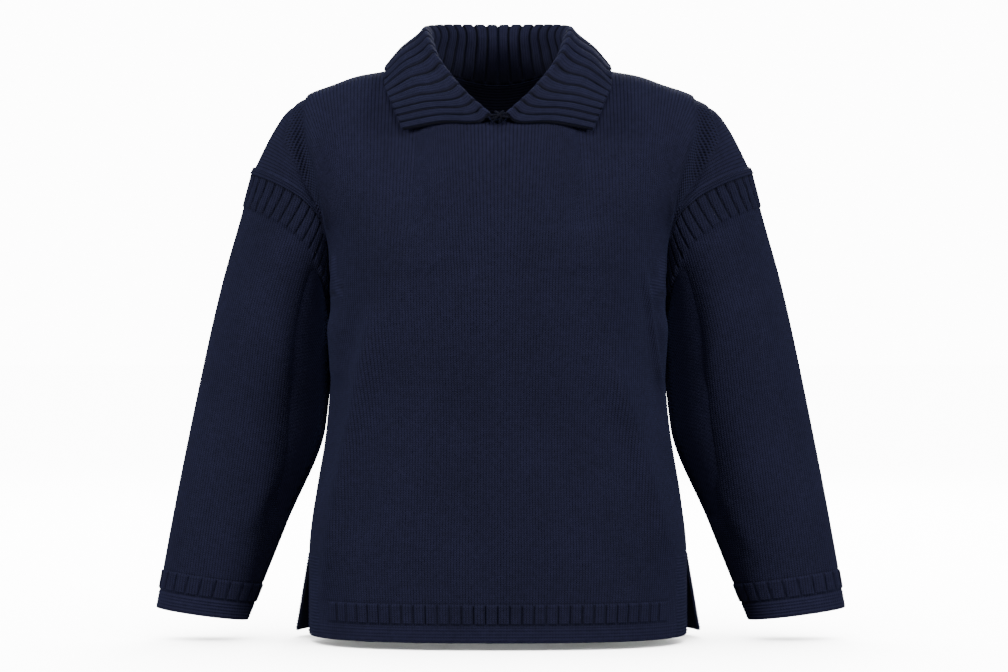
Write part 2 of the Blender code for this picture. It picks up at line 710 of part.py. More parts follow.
def rest_on(points, panels, clearance):
    """Points moved out of the yoke, along its normals, until they stand clear of it."""
    first = int((1 - YOKE_PART) * panels["front"].points.shape[0])
    ground = np.concatenate([panels[panel].points[first:].reshape(-1, 3) for panel in panels])
    normals = np.concatenate([panels[panel].normals[first:].reshape(-1, 3) for panel in panels])
    moved = points.reshape(-1, 3).copy()
    for start in range(0, len(moved), BATCH):
        batch = moved[start:start + BATCH]
        apart = ((batch[:, None] - ground[None]) ** 2).sum(axis=2)
        nearest = apart.argmin(axis=1)
        out = normals[nearest]
        stands = ((batch - ground[nearest]) * out).sum(axis=1)
        moved[start:start + BATCH] = batch + out * np.maximum(clearance - stands, 0)[:, None]
    return moved.reshape(points.shape)


def collar_wall(panels):
    """The collar: a stand rising from the neck edge, a fold, and a fall over the shoulders."""
    edge_line, edge_normals = neck_line(panels)
    distance = along(edge_line)
    span = distance[-1] - 2 * COLLAR_END

    def skin(places):
        at = COLLAR_END + (places + 1) / 2 * span
        edge = np.stack([np.interp(at, distance, edge_line[:, axis]) for axis in range(3)], axis=1)
        lift = np.stack([np.interp(at, distance, edge_normals[:, axis]) for axis in range(3)], axis=1)
        run = unit(np.gradient(edge, axis=0))
        lift = unit(lift - run * (lift * run).sum(axis=1, keepdims=True))
        beyond = np.cross(run, lift)
        return edge + lift * COLLAR_SEAM, edge + lift * (COLLAR_SEAM + SEAM / 2) + beyond * COLLAR_WALL

    ribs, rises = rib_places(-1, 1, COLLAR_RIBS)
    seam_edge, _ = skin(ribs)
    face = Sheet(collar_face(ribs, seam_edge, COLLAR_ROWS, panels))
    if face.normals[-1, len(ribs) // 2, 2] < 0:
        face.normals = -face.normals
    outer = []
    for number, share in enumerate(COLLAR_ROWS):
        lift = rises * RIB_RISE * (0 if number == 0 else 1)
        outer.append((share, ribs, face.points[number] + face.normals[number] * lift[:, None]))
    plain = np.linspace(-1, 1, COLLAR_RIBS + 1)
    seam_edge, _ = skin(plain)
    hidden = Sheet(collar_face(plain, seam_edge, COLLAR_BACK_ROWS, panels))
    if hidden.normals[-1, len(plain) // 2, 2] < 0:
        hidden.normals = -hidden.normals
    inner = [(0.0, ribs, skin(ribs)[1])]
    for number, share in enumerate(COLLAR_BACK_ROWS[1:], start=1):
        inner.append((share, plain, hidden.points[number] - hidden.normals[number] * COLLAR_WALL))
    build_wall("collar", outer, inner, DEEP_NAVY)


def clear_scene():
    """An empty scene."""
    for item in list(bpy.data.objects):
        bpy.data.objects.remove(item, do_unlink=True)


def main():
    """The sweater's five pieces, in its own collection."""
    clear_scene()
    collection = bpy.data.collections.new(GARMENT)
    bpy.context.scene.collection.children.link(collection)
    neck = bpy.data.objects.new(GARMENT + "_neck", None)
    collection.objects.link(neck)
    panels = {panel: panel_sheet(panel) for panel in ("front", "back")}
    sleeves = {side: sleeve_sheet(panels, side) for side in (-1, 1)}
    front = panel_wall("front", panels["front"], sleeves)
    back = panel_wall("back", panels["back"], sleeves)
    sleeve_wall("sleeve_left", -1, sleeves[-1], front, back)
    sleeve_wall("sleeve_right", 1, sleeves[1], front, back)
    collar_wall(panels)


main()
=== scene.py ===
"""The looks of a collared fisherman's sweater: knitted navy cotton, hollow and filled out as when worn.

Metres, +Z up, the front facing -Y. Each piece is a thin closed shell over the same surface as the solid
it stands for, on a finer grid, with its ribs, purl ridges, moss stitch, seams and soft folds raised in
it. The stitches themselves are in the material.
"""

import functools
import math

import bpy
import numpy as np
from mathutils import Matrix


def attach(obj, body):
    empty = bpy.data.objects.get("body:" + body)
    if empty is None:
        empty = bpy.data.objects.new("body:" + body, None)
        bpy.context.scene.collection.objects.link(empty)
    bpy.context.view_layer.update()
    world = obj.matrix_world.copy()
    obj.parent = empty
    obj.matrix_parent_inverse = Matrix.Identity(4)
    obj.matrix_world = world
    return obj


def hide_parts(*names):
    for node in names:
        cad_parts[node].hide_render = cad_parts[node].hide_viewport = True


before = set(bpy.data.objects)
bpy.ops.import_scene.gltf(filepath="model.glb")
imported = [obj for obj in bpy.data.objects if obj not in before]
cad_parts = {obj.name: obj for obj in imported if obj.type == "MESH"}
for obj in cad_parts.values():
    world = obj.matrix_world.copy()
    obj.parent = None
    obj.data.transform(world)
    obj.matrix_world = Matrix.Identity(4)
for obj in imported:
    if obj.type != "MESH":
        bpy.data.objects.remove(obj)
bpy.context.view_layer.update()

bpy.ops.object.select_all(action="DESELECT")


def table(names, *rows):
    """A table's columns by their names."""
    return dict(zip(names.split(), np.array(rows).T))


# Cloth
WALL = 0.0026
SEAM = 0.0003

# Heights down the body
UNDERARM = -0.245
HEM = -0.6155
SLIT_TOP = -0.530

# Neck: half its width, how far the front and back are scooped, and how the yoke crowns at its middle
NECK_HALF = 0.080
FRONT_SCOOP = math.radians(48.3)
BACK_SCOOP = math.radians(35.0)
FRONT_CROWN = 0.018
BACK_CROWN = 0.030

# How far the arm stands out of the yoke, in front and behind
ARM_FRONT = 0.052
ARM_BACK = 0.060
ARM_FROM = 0.45

# How sharply the outer columns of the yoke turn down over the shoulder, and the share where that starts
DROP_BEND = 3.5
DROP_FROM = 0.4

# Places across half a panel, as shares from its middle to its edge
NECK_SHARE = 0.34
FOLD_SHARE = 0.70

# Where those two places stand across the chest, and how much of a panel's height share is its yoke
NECK_PLACE = 0.38
FOLD_PLACE = 0.80
YOKE_PART = 0.4

# How far the panels' edges stand back from the side at the foot of the slits
FRONT_SLIT = 0.010
BACK_SLIT = 0.022

# Rib counts
HEAD_RIBS = 36
CUFF_RIBS = 22
COLLAR_RIBS = 38

# The body's sections: half widths and depths of the front and the back, and how square the oval is
BODY = table(
    "height front_half back_half front_depth back_depth square",
    (-0.245, 0.1810, 0.1810, 0.127, 0.108, 2.25),
    (-0.320, 0.1800, 0.1800, 0.123, 0.102, 2.25),
    (-0.395, 0.1855, 0.1855, 0.118, 0.098, 2.30),
    (-0.470, 0.1970, 0.1970, 0.119, 0.103, 2.40),
    (-0.530, 0.2030, 0.2040, 0.120, 0.109, 2.50),
    (-0.6155, 0.2030, 0.2210, 0.122, 0.113, 2.60),
)

# The shoulder line, from the neck over the shoulder to the drop of the sleeve
RIDGE = table(
    "across height",
    (0.080, 0.000),
    (0.122, -0.010),
    (0.150, -0.015),
    (0.176, -0.024),
    (0.205, -0.037),
    (0.226, -0.052),
    (0.241, -0.073),
    (0.265, -0.120),
)
FOLD_ACROSS = 0.205

# The right arm is held a little further out than the left, from this far across the shoulder
RIGHT_REACH = 0.0085
REACH_FROM = 0.18
REACH_WIDTH = 0.06
REACH_FADE = 0.3

# The sleeve's sections, from its seam to its cuff: outer and inner lines, shift back and half depth
SLEEVE = table(
    "share outer_x outer_z inner_x inner_z shift depth",
    (0.00, 0.2650, -0.120, 0.1820, -0.245, 0.004, 0.056),
    (0.10, 0.2785, -0.167, 0.1820, -0.266, 0.014, 0.059),
    (0.25, 0.2995, -0.237, 0.1798, -0.304, 0.024, 0.059),
    (0.50, 0.3260, -0.354, 0.1870, -0.394, 0.024, 0.051),
    (0.75, 0.3490, -0.472, 0.2290, -0.500, 0.014, 0.041),
    (1.00, 0.3700, -0.589, 0.2700, -0.603, 0.006, 0.031),
)
HEAD_FADE = 0.35

# The sleeve's underside stands off the body below the underarm: how far, and where along and round it
UNDERARM_ROOM = 0.0010
ROOM_START = 0.025
ROOM_HOLD = 0.06
ROOM_FADE = 0.16
ROOM_WIDTH = 1.1

# The collar's fold crest and outer edge, from the middle of the back to the ends that meet in front
COLLAR = table(
    "share crest_x crest_y crest_z edge_x edge_y edge_z",
    (0.00, 0.0000, 0.0600, 0.0450, 0.0000, 0.0800, -0.0080),
    (0.20, 0.0480, 0.0450, 0.0440, 0.0700, 0.0620, -0.0070),
    (0.42, 0.0785, 0.0040, 0.0370, 0.1215, 0.0080, -0.0050),
    (0.60, 0.0720, -0.0380, 0.0120, 0.1210, -0.0420, -0.0270),
    (0.80, 0.0400, -0.0760, -0.0340, 0.1120, -0.0740, -0.0520),
    (1.00, 0.0090, -0.1015, -0.0640, 0.1010, -0.0900, -0.0790),
)

# The collar's wall, its room over the yoke and at its ends, its fold's radius and its fall's swell
COLLAR_WALL = 0.003
COLLAR_CLEAR = 0.0042
COLLAR_END = 0.0008
FOLD_RADIUS = 0.0055
FALL_SWELL = 0.0025

# Soft folds of the body: panel, upper and lower end (across, height), half width and rise
FOLDS = (
    ("front", -0.214, -0.058, -0.196, -0.176, 0.0090, -0.0080),
    ("front", -0.198, -0.064, -0.183, -0.196, 0.0100, 0.0045),
    ("front", 0.222, -0.058, 0.202, -0.176, 0.0090, -0.0080),
    ("front", 0.206, -0.064, 0.188, -0.196, 0.0100, 0.0045),
    ("front", -0.177, -0.272, -0.178, -0.345, 0.0120, 0.0060),
    ("front", 0.177, -0.272, 0.178, -0.345, 0.0120, 0.0060),
    ("back", -0.212, -0.062, -0.196, -0.170, 0.0110, -0.0060),
    ("back", 0.218, -0.062, 0.200, -0.170, 0.0110, -0.0060),
    ("front", -0.130, -0.270, -0.184, -0.560, 0.020, 0.0070),
    ("front", 0.122, -0.310, 0.184, -0.540, 0.020, 0.0060),
    ("front", -0.172, -0.300, -0.192, -0.470, 0.012, -0.0040),
    ("front", 0.158, -0.245, 0.178, -0.400, 0.012, -0.0045),
    ("back", -0.120, -0.280, -0.165, -0.560, 0.022, 0.0060),
    ("back", 0.110, -0.300, 0.160, -0.570, 0.022, 0.0065),
    ("back", -0.020, -0.340, 0.010, -0.600, 0.028, -0.0045),
)

# A fold dies away over these shares of its length, at its upper and its lower end, from this much of it
FOLD_START = 0.35
FOLD_END = 0.30
FOLD_OPEN = 0.3

# How sharply the folds die away at a panel's edges, so that its seams stay where they are
EDGE_HOLD = 10

# How many points the fine grids have across half a panel, up a panel, and round and along a sleeve
HALF_GRID = 161
FINE_GRID = 241

# Points along a quarter of the neck edge, and how many of the collar's are laid over the yoke at a time
NECK_POINTS = 41
BATCH = 200

# The collar's knots from seam to edge, where its fall starts, its seam's tuck and its stand's hollow
COLLAR_KNOTS = np.array([0, 0.30, 0.45, 0.50, 0.55, 0.78, 1.0])
FALL_FROM = 0.5
COLLAR_SEAM = -0.0010
STAND_HOLLOW = 0.002

# Painted shade darkens the stand inside the neck, and fades out by this share of the way up
STAND_SHADE = 0.95
STAND_SHADED = 0.48

# Knit gauge: one wale across and one course up, as hand-framed cotton of this weight has them
WALE = 0.0030
COURSE = 0.0023

# The pieces laid flat: half a panel's width
HALF_WIDTH = 0.262

# The hem's band: its ribs, how far across they reach, its edges, and those edges' distances up the hem
HEM_RIBS = 30
BAND_REACH = 0.72
BAND_TOP = -0.5765
BAND_BOTTOM = -0.5960
HEM_TO_TOP = BAND_TOP - HEM
HEM_TO_BOTTOM = BAND_BOTTOM - HEM

# The sleeve's bands, from its seam and from its cuff's edge, and over what width any band starts and ends
HEAD_BAND = (0.0015, 0.0385)
CUFF_BAND = (0.0215, 0.0410)
BAND_STEP = 0.0012
BAND_END = 0.004

# A line of flat stitches runs above and below each band: how far off, wide, deep and past its end
LINE_ASIDE = 0.0016
LINE_WIDTH = 0.0009
LINE_DEPTH = 0.0005
LINE_END = 0.01

# The sleeve's head starts under the armhole's lap: how far it is tucked in, away from which row, and how low
TUCK = 0.0025
TUCK_ROW = 3
HEAD_DIP = 0.0012

# Purl ridges, and how strong they are at the hem, under the arms and at the cuffs
PURL_PITCH = 0.0034
PURL_RISE = 0.00045
WELT_PURL = 0.5
PATCH_PURL = 1.8
CUFF_PURL = 0.6

# How far below its band a purl edge starts, and over what height, at the hem and at the cuffs
WELT_ROOM = (0.003, 0.002)
CUFF_ROOM = (0.0022, 0.0015)

# Rises over the plain wall: tops of ribs, floors of their grooves, and edges
RIB_TOP = 0.0015
BAND_RIB_TOP = 0.0013
RIB_FLOOR = -0.0004
COLLAR_TOP = 0.0017
COLLAR_FLOOR = -0.0006
ROUND = 0.0012

# The ribs' profile: half the groove's width and its slope, as shares of a rib, and the top's own crown
FLAT_RIB = (0.05, 0.09)
ROUND_RIB = (0.035, 0.14)
CROWN = 0.12

# The head's ribs lean towards the sleeve's own line, in turns for each metre down
HEAD_LEAN = 0.6

# Moss stitch fills a long lozenge between the chest's fold and the armhole band, read across at each height
MOSS = table(
    "height inner outer",
    (-0.175, 0.1875, 0.1890),
    (-0.148, 0.1905, 0.1960),
    (-0.121, 0.1960, 0.2100),
    (-0.104, 0.2000, 0.2200),
    (-0.086, 0.2060, 0.2280),
    (-0.066, 0.2085, 0.2240),
    (-0.040, 0.2090, 0.2170),
)

# How high the moss stitch stands, and how softly it ends across and at its foot
MOSS_RISE = 0.0007
MOSS_SOFT = 0.0025
MOSS_FADE = 0.01

# A sunken line borders the moss stitch: how far off, how wide and how deep
MOSS_ASIDE = 0.002
MOSS_LINE = 0.0016
MOSS_DEPTH = 0.0006

# The chest folds over in front of the arm in a step along the moss stitch's inner edge
STEP_RISE = 0.0016
STEP_WIDTH = 0.0035
STEP_FADE = 0.030
STEP_SOFT = 0.03

# Purl beside the slits and below the armholes: how far in from the side, at what heights and how softly
SLIT_STRIP = 0.013
PATCH_IN = 0.0095
PATCH_IN_LOW = 0.0170
PATCH_HEIGHTS = (-0.254, -0.236, -0.212)
PATCH_SOFT = 0.0015
PATCH_END = 0.003
STRIP_SOFT = 0.002

# A cord edges the slits: over what height it starts, its rise, width and softness, and the painted shade line
# beside it
SLIT_FADE = 0.004
CORD_RISE = 0.0008
CORD_WIDTH = 0.0032
CORD_SOFT = 0.001
CORD_SHADE_LINE = (0.0042, 0.0007)

# The armhole's bound edge laps over the sleeve's head: how far and high, the painted shadow line beyond it
# (where, how wide), its band with a chain along it, and where its columns stand
LAP = 0.0022
LAP_RISE = 0.0026
LAP_SHADOW_LINE = (0.0024, 0.0012)
BOUND_BAND = 0.0085
BOUND_SOFT = 0.0015
BOUND_PITCH = 0.0028
BOUND_FLAT = 0.70
LAP_COLUMNS = (0.25, 0.5, 0.75, 0.9, 1.0)
LAP_SHARE = 0.010
LAP_LEAN = 0.03
LAP_FADE = 0.030

# A seam is a shallow dip: its width, its depth at the sides and elsewhere, and where a sleeve's starts
SEAM_WIDTH = 0.0018
SIDE_DIP = 0.0003
SEAM_DIP = 0.0006
SEAM_START = 0.01

# Painted shade: how dark each form is painted in its hollows
HEM_SHADE = 0.8
CUFF_SHADE = 0.4
LINE_SHADE = 0.35
PURL_SHADE = 0.5
CUFF_PURL_SHADE = 0.2
CORD_SHADE = 0.5
BOUND_SHADE = 0.45
SIDE_SEAM_SHADE = 0.6
LAP_SHADOW = 1.2
SLEEVE_SEAM_SHADE = 0.5
COLLAR_SHADE = 1.5
INSIDE_SHADE = 0.7

# Narrow creases that the soft folds carry: panel, upper and lower end, half width and rise
CREASES = (
    ("front", -0.2230, -0.110, -0.1880, -0.168, 0.0026, 0.0012),
    ("front", -0.2185, -0.112, -0.1850, -0.168, 0.0026, -0.0014),
    ("front", 0.2300, -0.110, 0.1930, -0.168, 0.0026, 0.0012),
    ("front", 0.2255, -0.112, 0.1900, -0.168, 0.0026, -0.0014),
    ("front", 0.154, -0.225, 0.178, -0.376, 0.0042, 0.0046),
    ("front", 0.163, -0.230, 0.184, -0.376, 0.0050, -0.0036),
    ("front", 0.124, -0.330, 0.184, -0.520, 0.0090, 0.0036),
    ("front", 0.104, -0.345, 0.160, -0.540, 0.0140, -0.0018),
    ("front", -0.132, -0.270, -0.176, -0.500, 0.0080, 0.0044),
    ("front", -0.147, -0.262, -0.188, -0.470, 0.0095, -0.0042),
    ("front", -0.112, -0.290, -0.150, -0.520, 0.0120, -0.0026),
    ("front", -0.174, -0.480, -0.188, -0.585, 0.0080, 0.0024),
    ("front", -0.060, -0.225, 0.060, -0.232, 0.0260, -0.0018),
    ("front", -0.090, -0.180, -0.080, -0.230, 0.0300, 0.0022),
    ("front", 0.085, -0.180, 0.090, -0.230, 0.0300, 0.0022),
    ("front", -0.040, -0.330, -0.075, -0.590, 0.0240, -0.0016),
    ("front", 0.060, -0.360, 0.078, -0.600, 0.0220, -0.0015),
    ("front", 0.000, -0.300, 0.008, -0.580, 0.0260, 0.0012),
    ("back", -0.150, -0.200, -0.176, -0.420, 0.0090, 0.0024),
    ("back", 0.156, -0.190, 0.182, -0.380, 0.0080, 0.0022),
    ("back", 0.120, -0.330, 0.176, -0.560, 0.0120, 0.0022),
    ("back", -0.120, -0.340, -0.160, -0.590, 0.0110, -0.0018),
    ("back", -0.040, -0.260, -0.050, -0.560, 0.0260, 0.0018),
    ("back", 0.050, -0.240, 0.066, -0.520, 0.0240, -0.0016),
    ("back", -0.110, -0.120, -0.160, -0.190, 0.0140, -0.0022),
    ("back", 0.112, -0.118, 0.164, -0.200, 0.0140, -0.0024),
)

# Creases fade this close to a panel's edges: on its face in metres, and on its inside as a share
CREASE_EDGE = 0.02
INSIDE_EDGE = 0.1

# Soft folds of the sleeves: side, start and end (turn, share along), half width in metres and rise
SLEEVE_FOLDS = (
    (-1, 0.20, 0.10, 0.30, 0.42, 0.012, 0.0022),
    (-1, 0.34, 0.16, 0.38, 0.52, 0.011, -0.0028),
    (-1, 0.10, 0.34, 0.24, 0.86, 0.016, -0.0020),
    (-1, 0.40, 0.46, 0.30, 0.80, 0.012, 0.0022),
    (-1, 0.70, 0.12, 0.62, 0.50, 0.014, -0.0026),
    (-1, 0.84, 0.30, 0.72, 0.82, 0.018, 0.0022),
    (-1, 0.93, 0.52, 0.80, 0.90, 0.014, -0.0018),
    (-1, 0.385, 0.02, 0.43, 0.70, 0.022, -0.0140),
    (1, 0.385, 0.02, 0.43, 0.70, 0.022, -0.0140),
    (1, 0.22, 0.11, 0.31, 0.40, 0.012, 0.0024),
    (1, 0.36, 0.18, 0.37, 0.56, 0.012, -0.0028),
    (1, 0.12, 0.40, 0.26, 0.88, 0.017, -0.0018),
    (1, 0.42, 0.50, 0.32, 0.84, 0.011, 0.0020),
    (1, 0.68, 0.14, 0.63, 0.46, 0.015, -0.0024),
    (1, 0.86, 0.26, 0.74, 0.78, 0.017, 0.0022),
    (1, 0.95, 0.50, 0.82, 0.92, 0.015, -0.0016),
)

# Metres for a turn in those rows, and where the folds start, stop (share, over what share) and meet the seam
SLEEVE_ROUND = 0.34
SLEEVE_FOLD_FROM = (0.08, 0.05)
SLEEVE_FOLD_TO = (0.93, 0.04)
SLEEVE_FOLD_SEAM = 0.04

# The yarns that tack the collar's ends together: diameter, roundness, smoothness, and the points of each
KNOT_YARN = 0.0020
KNOT_ROUND = 3
KNOT_STEPS = 6
KNOT = (
    ((-0.0075, -0.1015, -0.0650), (0.0000, -0.1068, -0.0652), (0.0090, -0.1015, -0.0625)),
    ((-0.0065, -0.1015, -0.0690), (0.0020, -0.1068, -0.0668), (0.0105, -0.1015, -0.0675)),
    ((-0.0030, -0.1015, -0.0610), (0.0030, -0.1080, -0.0662), (0.0015, -0.1015, -0.0725)),
    ((0.0060, -0.1015, -0.0605), (0.0010, -0.1078, -0.0655), (-0.0045, -0.1015, -0.0720)),
)

# The camera: its distance, place and height, and the size of one pixel of the image at the garment
SENSOR = 36
CAMERA_AWAY = 3.2
CAMERA_ACROSS = 0.0065
CAMERA_HEIGHT = -0.296
IMAGE_WIDTH = 1008
PIXEL = 0.00108

# The white surround: how bright it lights the garment, and how bright it is seen
SURROUND_LIGHT = 0.07
SURROUND_SEEN = 13.0

# The floor: how far below the hem, how wide, and its own lamp's strength, softness and tilt
FLOOR_BELOW = 0.008
FLOOR_SIZE = 60
GROUND_LIGHT = 44.0
GROUND_SOFT = math.radians(120)
GROUND_TILT = math.radians(12)

# Studio lamps: name, place, what it points at, size and power
LAMPS = (
    ("front_light", (0.2, -2.5, 2.2), (0, 0, -0.35), 0.9, 33),
    ("left_light", (-2.8, -1.7, 0.6), (0, 0, -0.35), 0.8, 65),
    ("right_light", (2.7, -1.9, 0.6), (0, 0, -0.35), 0.8, 62),
    ("back_light", (0.4, 3.0, 1.6), (0, 0, -0.30), 1.2, 110),
)

# Where each hem rib has its columns, and the columns beside the ribs: start, end and how many
RIB_PLACES = np.array([0, 0.06, 0.13, 0.28, 0.5, 0.72, 0.87, 0.94])
SIDE_COLUMNS = (
    (0.720, 0.840, 17),
    (0.840, 0.958, 8),
    (0.958, 1.000, 14),
)

# The rows of a panel: how many in its yoke, how far apart in its body and its hem, and the last ones' heights
YOKE_ROWS = 96
PLAIN_ROW = 0.003
BANDED_ROW = 0.00085
EDGE_ROWS = (0.0008, 0.0004, 0.0)

# The columns of a sleeve, and every which one is measured for its length
SLEEVE_COLUMNS_SHOWN = 361
MEASURED = 20

# The rows of a sleeve: at its seam, then where those of its head, length and cuff start and how far apart
SEAM_ROWS = (0.0, 0.0005, 0.001)
HEAD_START = 0.002
BAND_ROOM = 0.006
LONG_ROOM = 0.008
HEAD_ROW = 0.0014
LONG_ROW = 0.0034
CUFF_ROW = 0.0008

# Points on a hidden face: across a panel and up its yoke and body, and round and along a sleeve
PANEL_INSIDE = (61, 26, 34)
SLEEVE_INSIDE = (73, 56)

# The collar: points for each rib, plain and shown, and the rows of its guide grid and of both its faces
COLLAR_GUIDE_POINTS = 4
COLLAR_RIB_POINTS = 11
GUIDE_ROWS = ((0, 0.44, 12), (0.46, 0.54, 13), (0.56, 1, 14))
FACE_ROWS = ((0, 0.45, 34), (0.45, 0.55, 22), (0.55, 0.985, 36), (0.99, 1.0, 3))
HIDDEN_ROWS = ((0.04, 0.44, 14), (0.46, 0.54, 9), (0.58, 1, 18))

# The collar's ribs: how deep their ends are scalloped and from where, where they rise, and how far they
# show on the hidden face, whose wall is this much thinner
SCALLOP = 0.014
SCALLOP_FROM = 0.9
RIB_FADE = 0.03
HIDDEN_RIB = 0.0008
HIDDEN_THIN = 0.0005

# How much of the rounding its ends have, and how many metres of knit half its length takes
COLLAR_EDGE = 0.7
COLLAR_KNIT = 0.25

# Edges sharper than this stay sharp when the cloth is shaded smooth
SHARP_ANGLE = math.radians(55)

# The cloth's shader, for matte cotton with a little bluish fuzz, and the floor's
COTTON = {"Roughness": 0.92, "Specular IOR Level": 0.25, "Sheen Weight": 0.25, "Sheen Roughness": 0.5}
FUZZ_COLOUR = "#5c6aa6"
FLOOR = {"Roughness": 0.9, "Specular IOR Level": 0.0}
FLOOR_COLOUR = "#f4f4f4"

# A stitch's slant and roundness, the gap between its legs, a ridge's height and wave, and the moss bumps
STITCH_SLANT = 0.55
YARN_ROUND = 0.32
GAP_SHARP = 4.0
GAP_DEPTH = 1.3
RIDGE_HEIGHT = 0.4
RIDGE_WAVE = 0.12
MOSS_BUMP = 1.8
BUMP = {"Distance": 0.0007, "Strength": 0.8}

# Size in metres and detail of the fuzz, the uneven stitches and the washed patches, and what each does.
# Real fuzz is finer than the picture can show, so it is drawn this coarse
NOISES = ((0.0012, 2.0), (0.006, 3.0), (0.06, 2.0))
FUZZ_HEIGHT = 0.2
UNEVEN_HEIGHT = 0.4
UNEVEN_TINT = 1.2
WASHED_TINT = 0.9

# Painted shade: its colour, how dark it is in the grooves, and in the relief's hollows below what height and
# how fast
SHADE_COLOUR = "#050509"
GROOVE_SHADE = 0.6
HOLLOW_SHADE_FROM = 0.1
HOLLOW_SHADE = 0.7


def hermite(low, high, low_slope, high_slope, part, width):
    """A smooth curve between two values with given slopes, at a part of the width between them."""
    start = (1 + 2 * part) * (1 - part) ** 2 * low
    end = part ** 2 * (3 - 2 * part) * high
    bend = part * (1 - part) * width * ((1 - part) * low_slope - part * high_slope)
    return start + end + bend


def through(keys, values, at):
    """A smooth curve through a table's rows, which doesn't swing past them."""
    step = np.diff(keys)
    rise = np.diff(values) / step
    slope = np.empty(len(keys))
    slope[0] = rise[0]
    slope[-1] = rise[-1]
    product = rise[:-1] * rise[1:]
    total = rise[:-1] + rise[1:]
    slope[1:-1] = np.where(product > 0, 2 * product / np.where(product > 0, total, 1), 0)
    at = np.clip(at, keys[0], keys[-1])
    cell = np.clip(np.searchsorted(keys, at, side="right") - 1, 0, len(step) - 1)
    part = (at - keys[cell]) / step[cell]
    return hermite(values[cell], values[cell + 1], slope[cell], slope[cell + 1], part, step[cell])


def ease(value):
    """Zero below 0, one above 1 and smooth between."""
    value = np.clip(value, 0.0, 1.0)
    return value * value * (3 - 2 * value)


def unit(vectors):
    """Vectors of length one."""
    return vectors / np.maximum(np.linalg.norm(vectors, axis=-1, keepdims=True), 1e-12)


def along(points):
    """The distance of each point along its chain."""
    steps = np.linalg.norm(np.diff(points, axis=0), axis=1)
    return np.concatenate(([0.0], np.cumsum(steps)))


class Sheet:
    """A smooth surface, kept as a fine grid of points, which is read at any two shares."""

    def __init__(self, points):
        self.points = points
        self.find_normals()

    def find_normals(self):
        """Unit normals at the grid's points."""
        across = np.gradient(self.points, axis=1)
        up = np.gradient(self.points, axis=0)
        self.normals = unit(np.cross(across, up))

    def read(self, across, up):
        """Points and unit normals at shares across and up."""
        rows, columns = self.points.shape[:2]
        across = np.clip(np.asarray(across, float), 0, 1) * (columns - 1)
        up = np.clip(np.asarray(up, float), 0, 1) * (rows - 1)
        across, up = np.broadcast_arrays(across, up)
        i = np.minimum(across.astype(int), columns - 2)
        j = np.minimum(up.astype(int), rows - 2)
        a = (across - i)[..., None]
        b = (up - j)[..., None]
        found = []
        for grid in (self.points, self.normals):
            low = grid[j, i] * (1 - a) + grid[j, i + 1] * a
            high = grid[j + 1, i] * (1 - a) + grid[j + 1, i + 1] * a
            found.append(low * (1 - b) + high * b)
        return found[0], unit(found[1])


def quarter_oval(panel, height):
    """Half a panel's level section, from its middle to its side, and the distance along it."""

    def size(name):
        return float(through(BODY["height"][::-1], BODY[name][::-1], height))

    power = 2 / size("square")
    turn = np.linspace(0, math.pi / 2, HALF_GRID)
    across = size(panel + "_half") * np.sin(turn) ** power
    depth = size(panel + "_depth") * np.cos(turn) ** power
    depth[-1] = 0
    points = np.stack([across, depth], axis=1)
    return points, along(points)


def spread(share, height):
    """Where a column of the panel stands along a level section: drawn to the side near the arm."""
    keys = np.array([0, NECK_SHARE, FOLD_SHARE, 1.0])
    chest = through(keys, np.array([0, NECK_PLACE, FOLD_PLACE, 1.0]), share)
    blend = ease((height - SLIT_TOP) / (UNDERARM - SLIT_TOP))
    return share + (chest - share) * blend


def slit_opening(panel, height):
    """How far a panel's edge stands back from the side, below the top of the slit."""
    opening = FRONT_SLIT if panel == "front" else BACK_SLIT
    return opening * ease((SLIT_TOP - height) / (SLIT_TOP - HEM))


def body_row(panel, height, share):
    """A level row of half a panel: distance across, depth and height."""
    points, distance = quarter_oval(panel, height)
    reach = distance[-1] - slit_opening(panel, height)
    place = spread(share, height) * reach
    across = np.interp(place, distance, points[:, 0])
    depth = np.interp(place, distance, points[:, 1])
    return across, depth, np.full_like(across, height)


def top_line(panel, share, reach):
    """The neck edge and then the shoulder line: across, height and the turn of the yoke there."""
    scoop, crown = (FRONT_SCOOP, FRONT_CROWN) if panel == "front" else (BACK_SCOOP, BACK_CROWN)
    angle = np.clip(share / NECK_SHARE, 0, 1) * math.pi / 2
    turn = scoop * np.cos(angle)
    neck_x = NECK_HALF * np.sin(angle)
    crest = crown * np.cos(angle) ** 2
    neck_z = UNDERARM + (crest - UNDERARM) * np.cos(turn)
    ridge_across = RIDGE["across"] + reach * ease((RIDGE["across"] - REACH_FROM) / REACH_WIDTH)
    ridge_height = RIDGE["height"]
    distance = along(np.stack([ridge_across, ridge_height], axis=1))
    fold = np.interp(FOLD_ACROSS, ridge_across, distance)
    keys = np.array([NECK_SHARE, FOLD_SHARE, 1.0])
    place = np.interp(share, keys, np.array([0, fold, distance[-1]]))
    ridge_x = through(distance, ridge_across, place)
    ridge_z = through(distance, ridge_height, place)
    in_neck = share < NECK_SHARE
    across = np.where(in_neck, neck_x, ridge_x)
    height = np.where(in_neck, neck_z, ridge_z)
    return across, height, np.where(in_neck, turn, 0)


def yoke_row(panel, fall, share, reach):
    """A row of half a yoke, from the shoulder line (fall 0) down to the underarm (fall 1)."""
    chest_x, chest_depth, _ = body_row(panel, UNDERARM, share)
    top_x, top_z, start = top_line(panel, share, reach)
    turn = start + (math.pi / 2 - start) * fall
    drop = np.cos(turn) / np.cos(start)
    bend = 1 + DROP_BEND * ease((share - DROP_FROM) / (1 - DROP_FROM))
    arm = (ARM_FRONT if panel == "front" else ARM_BACK) * ease((share - ARM_FROM) / (1 - ARM_FROM))
    across = chest_x + (top_x - chest_x) * drop ** bend
    height = UNDERARM + (top_z - UNDERARM) * drop
    depth = chest_depth * np.sin(turn) + arm * np.sin(2 * turn)
    return across, depth, height


